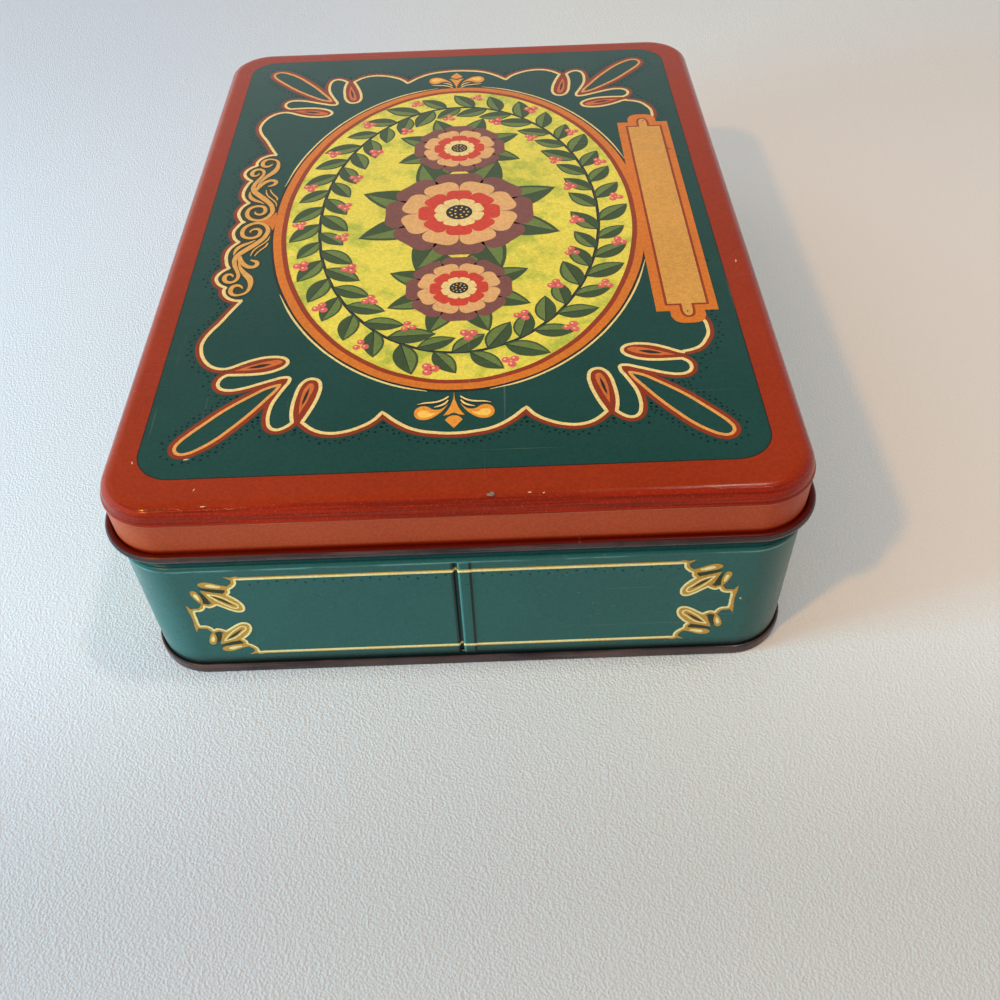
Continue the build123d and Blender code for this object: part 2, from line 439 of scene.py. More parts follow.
# Mask of the band under the lid's curl: painted shade, with some dirt where the curl sits.
curl_shade_and_dirt = by_height(tree, place, [(0, 0), (45.6, 0), (46.0, 1), (46.8, 1), (47.4, 0), (above_tin, 0)])
rubs = ramp(tree, noise(tree, stretched(tree, place, 60, 60, 400), 1.0, 3), 0.45, 0.6)
green = mix(tree, times(tree, bead, rubs), screen(*wall_green), screen(122, 171, 161))
# Painted shade: the green is darkened just above the foot.
green = tint(tree, green, foot, 0.9, (8, 24, 20))
# Painted shade under the lid's curl, with some dirt where the curl comes to rest.
green = tint(tree, green, curl_shade_and_dirt, 0.7, (6, 22, 18))
print("body green so far:", len(tree.nodes), "nodes")

# %% [markdown]
# Painted shade darkens the groove beside the lock seam, a painted highlight lies on the edge of its fold,
# and a black line of painted shade shows where the other edge is lapped. The three are stripes across the
# front wall, masked to the seam's height.

# %% Painted shade and highlight at the lock seam
axes = add(tree, "ShaderNodeSeparateXYZ", Vector=place)
across, inwards = axes.outputs["X"], axes.outputs["Y"]
seam_low, seam_high = 4.4, 43.7
seam_reach = by_height(tree, place, [(0, 0), (seam_low, 0), (seam_low + 0.2, 1), (seam_high, 1),
                                     (seam_high + 0.2, 0), (above_tin, 0)])
front = ramp(tree, inwards, -0.12, -0.115, 1.0, 0.0)
at_seam = times(tree, seam_reach, front)


def stripe(left, right, soft):
    """A mask that is 1 between two places across the front wall, in mm."""
    rise = ramp(tree, across, (left - soft) * MM, (left + soft) * MM)
    fall = ramp(tree, across, (right - soft) * MM, (right + soft) * MM, 1.0, 0.0)
    return times(tree, times(tree, rise, fall), at_seam)


# Painted shade in the groove left of the fold.
green = tint(tree, green, stripe(-3.0, -1.35, 0.25), 0.8, (20, 34, 32))
# Painted highlight on the edge of the fold.
green = tint(tree, green, stripe(-1.3, -0.65, 0.15), 0.28, (110, 176, 164))
# Painted shade: a black line where the other edge is lapped.
green = tint(tree, green, stripe(1.65, 2.3, 0.06), 0.97, (6, 12, 12))
tree.links.new(green, worn.inputs["Ink"])
print("seam stripes reach from", seam_low, "to", seam_high, "mm")

# %% [markdown]
# Bare tinplate is dull and clouded. Where hands and shelves touch it, on the curl and the foot, it is a
# dark lacquered brown with brighter rubbed lines. One function makes the three kinds from their own
# colours.


# %% Tinplate
def tinplate(name, clean, stained, metallic, roughness):
    """Clouded tinplate between two screen colours, with brighter rubbed lines."""
    material, tree, shader, place = new_material(name)
    clouds = ramp(tree, noise(tree, place, 60, 5, 0.65), 0.35, 0.7)
    rubs = ramp(tree, noise(tree, stretched(tree, place, 45, 45, 900), 1.0, 3), 0.56, 0.66)
    color = mix(tree, clouds, screen(*clean), screen(*stained))
    color = tint(tree, color, rubs, 0.35, [min(255, v * 1.5) for v in clean])
    tree.links.new(color, shader.inputs["Base Color"])
    tree.links.new(ramp(tree, clouds, 0, 1, roughness - 0.08, roughness + 0.1), shader.inputs["Roughness"])
    relief(tree, shader, 0.3, 0.00004, noise(tree, place, 800, 3))
    shader.inputs["Metallic"].default_value = metallic
    return material


inside_finish = tinplate("tinplate_inside", (196, 188, 172), (168, 156, 134), 0.85, 0.36)
edge_finish = tinplate("tinplate_edge", (84, 63, 61), (50, 38, 41), 0.5, 0.3)
base_finish = tinplate("tinplate_base", (150, 142, 134), (118, 104, 94), 0.8, 0.42)
print("materials:", len(bpy.data.materials))

# %% [markdown]
# The floor is a pale pebbled sheet. It only catches the shadow, so it is a large plane with a fine bump.
# Its colour is cooler at the left, painted light from the window. It is a little darker far behind, which
# is painted shade, and darker in front, a painted shadow of whoever looks down.

# %% Floor
bpy.ops.mesh.primitive_plane_add(size=6)
floor = bpy.context.object
floor.name = "floor"
floor_finish, tree, shader, place = new_material("pale_floor")
pebbles = add(tree, "ShaderNodeTexVoronoi", Vector=place, Scale=1500.0)
pebbled = maths(tree, "ADD", pebbles.outputs["Distance"], noise(tree, place, 1400.0))
relief(tree, shader, 0.3, 0.0005, pebbled)
floor_axes = add(tree, "ShaderNodeSeparateXYZ", Vector=place).outputs
# Mask of the painted window light: cool at the left, warm to the right.
away_from_window = ramp(tree, floor_axes["X"], -0.2, 0.12)
floor_color = mix(tree, away_from_window, screen(220, 221, 229), screen(233, 231, 227))
# Painted shade: darker in front, as a shadow of whoever looks down, and a little darker far behind.
painted_floor_shade = times(tree, ramp(tree, floor_axes["Y"], -0.2, -0.1, 0.72, 1.0),
               ramp(tree, floor_axes["Y"], 0.05, 0.3, 1.0, 0.9))
tree.links.new(mix(tree, 1.0, floor_color, painted_floor_shade, "MULTIPLY"), shader.inputs["Base Color"])
shader.inputs["Roughness"].default_value = 0.75
floor.data.materials.append(floor_finish)
print("floor", floor.dimensions[:])

# %% [markdown]
# A sheet-metal profile is a line of straight runs and bends. The helper walks along it, as the part's
# source does, and gives points on the middle of the sheet. Offsets are outwards from the body's outer
# face, in mm.


# %% The bent line of a sheet
def bend_line(start, heading, steps, bend_parts=7):
    """Points along a sheet's middle. A step is a run's length, or a (radius, degrees) bend, left positive."""
    x, y = start
    points = [(x, y)]
    for step in steps:
        if isinstance(step, tuple):
            radius, angle = step
            side = math.copysign(1, angle)
            parts = max(2, math.ceil(abs(angle) / 90 * bend_parts))
            centre_x = x - radius * side * math.sin(math.radians(heading))
            centre_y = y + radius * side * math.cos(math.radians(heading))
            for i in range(1, parts + 1):
                reach = math.radians(heading - 90 * side + angle * i / parts)
                points.append((centre_x + radius * math.cos(reach), centre_y + radius * math.sin(reach)))
            x, y = points[-1]
            heading += angle
        else:
            x += step * math.cos(math.radians(heading))
            y += step * math.sin(math.radians(heading))
            points.append((x, y))
    return points


def joggle(shift, bend):
    """Degrees that two equal and opposite bends turn through to move a sheet sideways by shift."""
    return math.degrees(math.acos(1 - shift / (2 * bend)))


def joggle_run(bend, turned):
    """How far a joggle reaches along the sheet."""
    return 2 * bend * math.sin(math.radians(turned))


print("a quarter bend of 1 mm ends at", [round(v, 3) for v in bend_line((0, 0), 0, [(1, 90)])[-1]])

# %% [markdown]
# Blender's operators work on what is selected and active. These helpers pick a piece out, run an operator
# on it and apply the result, so that each piece ends as a plain mesh.


# %% Helpers for pieces
def only(*objects):
    """Deselect everything but these, and make the last one active."""
    bpy.ops.object.select_all(action="DESELECT")
    for one in objects:
        one.select_set(True)
    bpy.context.view_layer.objects.active = objects[-1]


def edit_all(piece, *steps):
    """Runs mesh operators, each with its settings, on the whole of a piece."""
    only(piece)
    bpy.ops.object.mode_set(mode="EDIT")
    bpy.ops.mesh.select_all(action="SELECT")
    for step, settings in steps:
        step(**settings)
    bpy.ops.object.mode_set(mode="OBJECT")


def modify(piece, kind, **settings):
    """Gives a piece a modifier with these settings, and applies it."""
    only(piece)
    bpy.ops.object.modifier_add(type=kind)
    modifier = piece.modifiers[-1]
    for key, value in settings.items():
        setattr(modifier, key, value)
    bpy.ops.object.modifier_apply(modifier=modifier.name)


def as_mesh(curve):
    """Turns a curve into a mesh of what it shows."""
    only(curve)
    bpy.ops.object.convert(target="MESH")
    return bpy.context.object


def settle(piece):
    """Moves a piece's place into its own points."""
    only(piece)
    bpy.ops.object.transform_apply(location=True, rotation=False, scale=False)
    return piece


print("piece helpers ready")

# %% [markdown]
# The tin's plan is a rounded rectangle. A plane with its four corners bevelled gives it exactly.

# %% Plan of the tin
body_width, body_length, body_corner = 177.7, 247.4, 15.3
gauge = 0.28
corner_parts = 16
half_width, half_length = body_width / 2, body_length / 2


def rounded_plate(name, width, length, radius, centre=(0.0, 0.0)):
    """A flat rounded rectangle, in mm, from a plane with bevelled corners."""
    bpy.ops.object.select_all(action="DESELECT")
    bpy.ops.mesh.primitive_plane_add(size=1, location=(centre[0] * MM, centre[1] * MM, 0))
    plate = bpy.context.object
    plate.name = name
    plate.scale = (width * MM, length * MM, 1)
    bpy.ops.object.transform_apply(location=True, rotation=False, scale=True)
    edit_all(plate, (bpy.ops.mesh.bevel, {"offset": radius * MM, "segments": corner_parts,
                                          "affect": "VERTICES"}))
    return plate


print("plan of the body:", body_width, "by", body_length, "mm, corners", body_corner)

# %% [markdown]
# The plan's edge becomes the path of a curve, and the bent line is that curve's bevel object, so the sheet
# is swept right round in one go. Spinning each corner by hand would also work, but would need eight pieces
# joined. The hole left in the middle of a lid or a bottom is closed with one face.


# %% The sweep
def line_curve(name, points, cyclic=False):
    """A flat curve of straight runs through these points, in mm."""
    data = bpy.data.curves.new(name, "CURVE")
    spline = data.splines.new("POLY")
    spline.points.add(len(points) - 1)
    spline.use_cyclic_u = cyclic
    for point, (x, y) in zip(spline.points, points):
        point.co = (x * MM, y * MM, 0, 1)
    curve = bpy.data.objects.new(name, data)
    scene.collection.objects.link(curve)
    return curve


def carry_round(name, points):
    """The bent line swept round the tin's plan, as an open sheet."""
    path = rounded_plate(name, body_width, body_length, body_corner)
    edit_all(path, (bpy.ops.mesh.delete, {"type": "ONLY_FACE"}))
    bpy.ops.object.convert(target="CURVE")
    path = bpy.context.object
    profile = line_curve(name + "_profile", points)
    path.data.bevel_mode = "OBJECT"
    path.data.bevel_object = profile
    sheet = as_mesh(path)
    bpy.data.objects.remove(profile)
    edit_all(sheet, (bpy.ops.mesh.remove_doubles, {"threshold": 0.000005}))
    return sheet


def fill_plate(sheet, offset):
    """Closes the hole whose edge lies at this offset with one flat face."""
    reach_x, reach_y = (half_width + offset + 0.01) * MM, (half_length + offset + 0.01) * MM
    only(sheet)
    bpy.ops.object.mode_set(mode="EDIT")
    bpy.ops.mesh.select_mode(type="EDGE")
    bpy.ops.mesh.select_all(action="DESELECT")
    bpy.ops.mesh.select_non_manifold()
    bpy.ops.object.mode_set(mode="OBJECT")
    mesh = sheet.data
    for edge in mesh.edges:
        ends = [mesh.vertices[v].co for v in edge.vertices]
        edge.select = edge.select and all(abs(end.x) < reach_x and abs(end.y) < reach_y for end in ends)
    bpy.ops.object.mode_set(mode="EDIT")
    bpy.ops.mesh.select_mode(type="EDGE")
    bpy.ops.mesh.edge_face_add()
    bpy.ops.mesh.select_mode(type="VERT")
    bpy.ops.object.mode_set(mode="OBJECT")


print("the sweep goes round a half plan of", half_width, "by", half_length, "mm")

# %% [markdown]
# A Solidify modifier gives the sheet its gauge, half on each side of the bent line. The outside takes the
# first material, the inside the second, and faces picked out by their place the third or the fourth.

# %% The gauge and the edges
smooth_angle = math.radians(42)
edge_slot, crest_slot = 2, 3


def give_gauge(sheet, outside):
    """Turns a single sheet into tinplate of its gauge, with smooth bends: printed outside, bare inside."""
    for finish in (outside, inside_finish, edge_finish):
        sheet.data.materials.append(finish)
    edit_all(sheet, (bpy.ops.mesh.normals_make_consistent, {"inside": False}))
    modify(sheet, "SOLIDIFY", thickness=gauge * MM, offset=0, use_even_offset=True, material_offset=1)
    bpy.ops.object.shade_smooth_by_angle(angle=smooth_angle)


def plan_offset(place):
    """How far a place lies outside the body's wall in plan, in mm."""
    x = max(abs(place.x) / MM - half_width + body_corner, 0)
    y = max(abs(place.y) / MM - half_length + body_corner, 0)
    return math.hypot(x, y) - body_corner


def bare_edges(sheet, low, high, beyond=-100):
    """Gives the dark lacquered edge finish to what isn't between two heights, beyond an offset."""
    for face in sheet.data.polygons:
        if not low * MM < face.center.z < high * MM and plan_offset(face.center) > beyond:
            face.material_index = edge_slot


print("gauge", gauge, "mm, smooth below", round(math.degrees(smooth_angle)), "degrees")

# %% [markdown]
# The lid is one drawn sheet: flat top, rounded shoulder, a small ledge bead, the skirt, and an open curl
# rolled outwards. Its plate lies a little below the top of the CAD box, which leaves room for the films
# of ink. Faces on the curl are told apart by height and by how far out they lie: bare edge outside, and on
# the crest a dark red that is painted shade.

# %% Lid
ink_room = 0.14
body_height = 64.7
neck_step = 0.95
top_curl_bend = 0.95
lid_clearance = 0.45
shoulder_radius = 3.7
shoulder_set_in = 0.25
ledge_rise = 0.2
ledge_bend = 0.5
lid_land = 1.0
lid_curl_bend = 1.14
lid_curl_turn = 300
half_gauge = gauge / 2

lid_top = lid_high - ink_room
shoulder_foot = -neck_step + lid_clearance + half_gauge
shoulder_bend = shoulder_radius - half_gauge
lid_plate_edge = shoulder_foot - shoulder_bend - lid_land
ledge_out = joggle(shoulder_set_in + ledge_rise, ledge_bend)
ledge_back = joggle(ledge_rise, ledge_bend)
ledge_run = joggle_run(ledge_bend, ledge_out) + joggle_run(ledge_bend, ledge_back)
curl_centre = lid_low + lid_curl_bend + half_gauge
skirt_run = lid_top - half_gauge - shoulder_bend - ledge_run - curl_centre

lid_sheet = carry_round("lid_sheet", bend_line((lid_plate_edge, lid_top - half_gauge), 0, [
    lid_land,
    (shoulder_bend, -90),
    (ledge_bend, ledge_out),
    (ledge_bend, -ledge_out - ledge_back),
    (ledge_bend, ledge_back),
    skirt_run,
    (lid_curl_bend, lid_curl_turn),
], 12))
fill_plate(lid_sheet, lid_plate_edge)
give_gauge(lid_sheet, red_finish)
curl_line, curl_back, crest_start, crest_end = curl_top + 0.1, 0.9, 0.2, 1.8
bare_edges(lid_sheet, curl_line, 100, beyond=curl_back)
# The crest's faces take the dark red of painted shade.
lid_sheet.data.materials.append(curl_shade_finish)
for face in lid_sheet.data.polygons:
    on_upper_curl = curl_centre < face.center.z / MM < curl_line
    if on_upper_curl and crest_start < plan_offset(face.center) < crest_end:
        face.material_index = crest_slot
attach(lid_sheet, "lid")
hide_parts("lid")
print("lid sheet", [round(v / MM, 2) for v in lid_sheet.dimensions], len(lid_sheet.data.polygons), "faces")

# %% [markdown]
# The body is one strip: it starts inside the double seam, turns up as the wall, steps out at a bead and
# back in to the neck, and ends in a curl that the biscuits' packer can't cut a hand on.

# %% Body wall
seam_gap = 0.05
seam_pitch = gauge + seam_gap
seam_height = 3.4
hook_end_gap = 0.1
bead_height = 43.9
bead_rise = 0.3
bead_bend = 0.7
top_curl_turn = 300
wall_middle = -half_gauge

fold_centre = gauge + seam_gap + seam_pitch + half_gauge
hook_top = seam_height - seam_pitch - half_gauge - hook_end_gap
out_turn = joggle(bead_rise, bead_bend)
in_turn = joggle(bead_rise + neck_step, bead_bend)
bead_run = joggle_run(bead_bend, out_turn) + joggle_run(bead_bend, in_turn)
curl_height = body_height - top_curl_bend - half_gauge

body_sheet = carry_round("body_sheet", bend_line((wall_middle + 2 * seam_pitch, hook_top), -90, [
    hook_top - fold_centre,
    (seam_pitch, -180),
    bead_height - fold_centre,
    (bead_bend, -out_turn),
    (bead_bend, out_turn + in_turn),
    (bead_bend, -in_turn),
    curl_height - bead_height - bead_run,
    (top_curl_bend, top_curl_turn),
]))
give_gauge(body_sheet, body_finish)
bare_edges(body_sheet, seam_height, curl_height - 0.5)
print("body sheet", [round(v / MM, 2) for v in body_sheet.dimensions], len(body_sheet.data.polygons), "faces")

# %% [markdown]
# The bottom panel is pressed with one stepped ring, drops down the chuck wall, turns under the body's
# hook and comes back up outside it. The foot of this seam is what the tin stands on.

# %% Bottom panel
seam_foot_bend = 0.42
panel_height = 4.0
panel_bend = 0.8
panel_margin = 5.0
panel_step = 0.9
panel_step_bend = 0.9
panel_land = 2.0

chuck_middle = wall_middle - seam_pitch
foot_run = 4 * seam_pitch - 2 * seam_foot_bend
foot_centre = half_gauge + seam_foot_bend
cover_fold = seam_height - seam_pitch - half_gauge
hook_end = gauge + seam_gap + seam_pitch + half_gauge + hook_end_gap
step_turn = joggle(panel_step, panel_step_bend)
step_run = joggle_run(panel_step_bend, step_turn)
panel_plate_edge = chuck_middle - panel_bend - panel_margin - step_run - panel_land

bottom_sheet = carry_round("bottom_sheet", bend_line((panel_plate_edge, panel_height + panel_step), 0, [
    panel_land,
    (panel_step_bend, -step_turn),
    (panel_step_bend, step_turn),
    panel_margin,
    (panel_bend, -90),
    panel_height - panel_bend - foot_centre,
    (seam_foot_bend, 90),
    foot_run,
    (seam_foot_bend, 90),
    cover_fold - foot_centre,
    (seam_pitch, 180),
    cover_fold - hook_end,
]))
fill_plate(bottom_sheet, panel_plate_edge)
give_gauge(bottom_sheet, base_finish)
seam_inside = -1.5
for face in bottom_sheet.data.polygons:
    if face.material_index == 0 and plan_offset(face.center) > seam_inside:
        face.material_index = edge_slot
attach(bottom_sheet, "tin")
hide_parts("bottom_panel")
print("bottom sheet", [round(v / MM, 2) for v in bottom_sheet.dimensions], len(bottom_sheet.data.polygons))

# %% [markdown]
# The body's strip is closed by a lock seam: each edge is folded back and hooked into the other. Both
# hooks are bent lines in plan. The right one is pressed in a little. The left one jogs inwards, and leaves
# a groove beside the seam.

# %% Hooks of the lock seam
lock_gap = 0.04
lock_left, lock_right = -1.25, 2.05
lock_press = 0.12
lock_bend = 0.4
jog_bend = 0.3
jog_turn = 60
lock_margin = 2.0
lock_end_gap = 0.2
groove_width = 0.8

window_left, window_right = lock_left - lock_margin, lock_right + lock_margin
window_low, window_high = panel_height + half_gauge + lock_end_gap, bead_height
face_middle = -half_length - wall_middle
lock_pitch = gauge + lock_gap
lock_fold = lock_pitch + half_gauge
left_fold, right_fold = lock_left + lock_fold, lock_right - lock_fold
hook_reach = right_fold - left_fold - gauge

press_turn = joggle(lock_press, lock_bend)
outer_hook = bend_line((window_right, face_middle), 180, [
    window_right - lock_right - joggle_run(lock_bend, press_turn),
    (lock_bend, press_turn),
    (lock_bend, -press_turn),
    lock_right - left_fold,
    (lock_pitch, -180),
    hook_reach,
])
jog_depth = 3 * lock_pitch - lock_press
jog_bend_rise = 2 * jog_bend * (1 - math.cos(math.radians(jog_turn)))
jog_slope = (jog_depth - jog_bend_rise) / math.sin(math.radians(jog_turn))
jog_run = joggle_run(jog_bend, jog_turn) + jog_slope * math.cos(math.radians(jog_turn))
jog_clear = (lock_fold + half_gauge + lock_gap) / math.sin(math.radians(jog_turn))
jog_start = left_fold - jog_clear - jog_run / 2 - groove_width
inner_hook = bend_line((window_left, face_middle), 0, [
    jog_start - window_left,
    (jog_bend, jog_turn),
    jog_slope,
    (jog_bend, -jog_turn),
    right_fold - jog_start - jog_run,
    (lock_pitch, -180),
    hook_reach,
])
print("lock seam from", lock_left, "to", lock_right, "mm, hooks overlap by", round(hook_reach, 2))

# %% [markdown]
# A window is cut in the wall with a Boolean, and the two hooks are extruded up to fill it.


# %% Lock seam
def upright_strip(name, points, low, high):
    """A sheet that stands on a line in plan, between two heights, in mm."""
    strip = line_curve(name, points)
    strip.data.extrude = (high - low) / 2 * MM
    strip.location.z = (low + high) / 2 * MM
    return settle(as_mesh(strip))


bpy.ops.object.select_all(action="DESELECT")
bpy.ops.mesh.primitive_cube_add(size=1)
window = bpy.context.object
window.scale = ((window_right - window_left) * MM, 4 * gauge * MM, (window_high - window_low) * MM)
window.location = Vector(((window_left + window_right) / 2, face_middle, (window_low + window_high) / 2)) * MM
modify(body_sheet, "BOOLEAN", operation="DIFFERENCE", solver="EXACT", object=window)
bpy.data.objects.remove(window)

hooks = [upright_strip(name, points, window_low, window_high)
         for name, points in (("outer_hook", outer_hook), ("inner_hook", inner_hook))]
for hook in hooks:
    give_gauge(hook, body_finish)
only(*hooks, body_sheet)
bpy.ops.object.join()
bpy.ops.object.shade_smooth_by_angle(angle=smooth_angle)
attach(body_sheet, "tin")
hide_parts("body_wall")
print("body with its lock seam:", len(body_sheet.data.polygons), "faces")

# %% [markdown]
# The print is modelled as films of ink. Each stroke is a curve with a thin flat band as its bevel object,
# so it has the width of the pen line and a crisp edge. Flat shapes are closed curves that Blender fills.
# A pattern painted in the material would need a picture or very many nodes, and would blur when the model
# is exported.

# %% Pen lines
films = {"outline": 0.012, "ground": 0.024, "speck": 0.036, "shade": 0.048, "under": 0.06, "line": 0.072,
         "band": 0.084, "over": 0.096, "plaque": 0.102, "top": 0.108, "field": 0.12}
root_depth = 0.06
crown = 0.004
print_centre = (-0.65, 0.75)
pen = "corner"


def brush_line(name, points, closed=False, parts=6):
    """A smooth line through (x, y), (x, y, width) or (x, y, width, pen) points, in mm. pen marks a corner."""
    data = bpy.data.curves.new(name, "CURVE")
    data.dimensions = "3D"
    data.resolution_u = parts
    spline = data.splines.new("BEZIER")
    spline.bezier_points.add(len(points) - 1)
    spline.use_cyclic_u = closed
    for knot, point in zip(spline.bezier_points, points):
        knot.co = (point[0] * MM, point[1] * MM, 0)
        knot.radius = point[2] if len(point) > 2 else 1
        knot.handle_left_type = knot.handle_right_type = "VECTOR" if len(point) > 3 else "AUTO"
    line = bpy.data.objects.new(name, data)
    scene.collection.objects.link(line)
    return line


def tidy_shell(piece):
    """Merges doubles and turns every face outwards. The films are closed shells, so this is safe."""
    edit_all(piece, (bpy.ops.mesh.remove_doubles, {"threshold": 0.0000008}),
             (bpy.ops.mesh.normals_make_consistent, {"inside": False}))
    bpy.ops.object.shade_flat()
    return piece


print("films of ink:", len(films), "heights up to", max(films.values()), "mm")

# %% [markdown]
# A stroke is a pen line with width. A patch is a filled shape. Both reach a little way down into the sheet
# they lie on, so that no gap shows at their foot, and end at the height of their film.


# %% Strokes and patches
def stroke(name, points, left, right, film, closed=False, parts=6):
    """A band of ink that reaches so far left and right of a line, in mm. Its top is crowned a few microns,
    as wet ink is, so that a stroke that folds over itself at a corner has no two faces in one plane."""
    line = brush_line(name, points, closed, parts)
    high = films.get(film, film)
    section = line_curve(name + "_section", [(-left, -root_depth), (right, -root_depth), (right, high),
                                             ((right - left) / 2, high + crown), (-left, high)], cyclic=True)
    line.data.bevel_mode = "OBJECT"
    line.data.bevel_object = section
    line.data.use_fill_caps = True
    piece = as_mesh(line)
    bpy.data.objects.remove(section)
    for i, vertex in enumerate(piece.data.vertices):
        part = i % 5
        assert (vertex.co.z < 0) == (part < 2), name
        vertex.co.z = (-root_depth if part < 2 else high + (crown if part == 3 else 0)) * MM
    return tidy_shell(piece)


def patch(name, points, film, parts=6):
    """A closed shape filled with ink."""
    shape = brush_line(name, points, True, parts)
    high, low = films.get(film, film) * MM, -root_depth * MM
    shape.data.dimensions = "2D"
    shape.data.fill_mode = "BOTH"
    shape.data.extrude = (high - low) / 2
    shape.location.z = (high + low) / 2
    return tidy_shell(settle(as_mesh(shape)))


print("strokes are crowned by", crown, "mm and rooted", root_depth, "mm deep")

# %% [markdown]
# Pieces of one ink are joined, mirrored where the print is symmetrical, and laid on the lid's top.


# %% Joining, mirroring and printing
def join(name, pieces):
    """Joins pieces of one ink, and names the whole."""
    only(*pieces)
    if len(pieces) > 1:
        bpy.ops.object.join()
    whole = bpy.context.object
    whole.name = whole.data.name = name
    return whole


def reflect(piece, in_x=True, in_y=True):
    """Copies a piece across the middle of the print with a Mirror modifier."""
    bpy.ops.object.empty_add(location=(print_centre[0] * MM, print_centre[1] * MM, 0))
    middle = bpy.context.object
    modify(piece, "MIRROR", use_axis=(in_x, in_y, False), mirror_object=middle, use_mirror_merge=False)
    bpy.data.objects.remove(middle)
    return piece


def print_on_lid(piece, finish):
    """Lifts a flat piece of ink onto the lid's top, gives it its finish and lets it ride there."""
    piece.location.z = lid_top * MM
    settle(piece)
    piece.data.materials.clear()
    piece.data.materials.append(finish)
    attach(piece, "lid")
    print(piece.name, len(piece.data.polygons), "faces")


def outward(points):
    """Points given outwards from the middle of the print, as places in its front left quarter."""
    return [(print_centre[0] - p[0], print_centre[1] - p[1], *p[2:]) for p in points]


print("the print is centred on", print_centre, "mm")

# %% [markdown]
# A rounded green panel fills the top, with a thin dark line round it, and leaves the red border bare.

# %% Green panel
panel_width, panel_length, panel_radius = 158.0, 226.4, 9.5
outline_width = 0.35
for name, grow, film, finish in (("panel_outline", outline_width, "outline", dark_finish),
                                 ("green_panel", 0, "ground", green_finish)):
    plate = rounded_plate(name, panel_width + 2 * grow, panel_length + 2 * grow, panel_radius + grow,
                          print_centre)
    rise = (0, 0, (films[film] + root_depth) * MM)
    edit_all(plate, (bpy.ops.mesh.extrude_region_move, {"TRANSFORM_OT_translate": {"value": rise}}))
    plate.location.z = -root_depth * MM
    print_on_lid(tidy_shell(settle(plate)), finish)

# %% [markdown]
# The flourish is one long pen line, the same in all four quarters. It starts at the middle of the short
# side, swings out in two scallops, makes an upright loop, a bend and two flat loops, and runs up the long
# side. It is drawn once for one quarter and mirrored. A brown shade follows the line on its outer side.

# %% Pen line of the corners
scallops = [(0, 100.7), (1.2, 100.7), (4.4, 100.35), (9.4, 99.2), (13.8, 96.6), (18.6, 91.9, 1, pen),
            (20.8, 94.9), (24.4, 97.4), (28.1, 98.8), (31.9, 99.1), (35.5, 97.9), (39.1, 94.7, 1, pen)]
upright_loop = [(37.8, 91.4), (36.6, 87.7), (35.75, 83.9), (35.6, 80.7), (36.3, 78.6), (37.6, 77.8),
                (38.9, 77.8), (40.1, 78.7), (41.2, 80.8), (41.9, 84.5), (42.25, 88.3), (42.1, 92),
                (41.6, 94.6, 1, pen)]
open_bend = [(42.8, 95.9), (44.3, 96.9), (45.7, 97.1), (47.1, 96.2), (47.95, 93.9), (48.1, 90.7), (47.6, 87),
             (46.5, 83.9), (45.2, 80.8), (44.2, 78.4), (44.35, 77), (45.6, 76.7)]
flat_loops = [(48.8, 77.7), (52.5, 79.2), (56.2, 80.6), (59.3, 81.2), (61.8, 80.7), (63, 79.4),
              (63.2, 77.6), (62.6, 76.1), (61.2, 74.9, 1, pen), (58.1, 75), (54.3, 75), (50.6, 74.5),
              (47.5, 73.2), (45.8, 71.7), (45.5, 70.1), (46.5, 68.7), (48.1, 68.1), (51.2, 68),
              (54.3, 68.7), (58.1, 70.4), (60.6, 71.8), (62.4, 72.4, 1, pen)]
corner_line = outward(scallops + upright_loop + open_bend + flat_loops)
line_half, shade_reach = 0.49, 1.65
cream_pieces = [reflect(stroke("cream_corners", corner_line, line_half, line_half, "line"))]
shade_pieces = [reflect(stroke("shade_corners", corner_line, shade_reach, 0.2, "shade"))]
print("pen line points in one corner:", len(corner_line))

# %% [markdown]
# From the flat loops the line runs on: at the left to the scrolls, at the right to the tabs of the
# plaque.

# %% Side lines
to_scroll = outward([(62.4, 72.4), (65, 71.8), (67.5, 69.8), (69.4, 66.6), (70.2, 63.8), (70.45, 61.3),
                     (70, 58.8), (69.1, 56.3), (66.9, 52), (64.4, 46.3), (62.2, 41.6)])
to_plaque = outward([(-61.9, 71.9), (-64.4, 71.3), (-66.9, 69.9), (-68.7, 67.3), (-69.9, 64.5), (-70.1, 62),
                     (-69.9, 59.5), (-69.2, 57.6)])
for line, left, right in ((to_scroll, shade_reach, 0.2), (to_plaque, 0.2, shade_reach)):
    cream_pieces.append(reflect(stroke("side_line", line, line_half, line_half, "line"), in_x=False))
    shade_pieces.append(reflect(stroke("side_shade", line, left, right, "shade"), in_x=False))
print("side lines:", len(to_scroll), "and", len(to_plaque), "points")

# %% [markdown]
# In each corner lies a long slanting loop in a paler orange line, and the upright and the upper flat loop
# hold a small leaf: orange, with a dark slit, on brown.

# %% Slanting loops and leaves
slant = outward([(46.5, 79.6, 1, pen), (47.2, 81.5), (49.4, 85.1), (53.1, 90.8), (56.9, 95.8), (60.6, 100.1),
                 (64.3, 103.2), (66.8, 104.6), (68.6, 104.8), (69.9, 103.9), (70.3, 102.3), (69.5, 100.3),
                 (67.5, 97.6), (64.3, 93.9), (60.6, 89.8), (56.9, 86.4), (53.1, 83.3), (50, 81)])
upright_leaf = outward([(40.2, 91.6, 1, pen), (38.9, 88), (37.9, 84.3), (37.3, 81.4), (37.6, 79.9),
                        (38.5, 79.6), (39.4, 80.8), (40.1, 83.3), (40.4, 87)])
flat_leaf = outward([(59.6, 73.2, 1, pen), (54.9, 73.2), (50.9, 72.5), (47.9, 71.2), (46.9, 70.2),
                     (47.9, 69.4), (50.6, 69.6), (53.8, 70.6), (57, 72)])
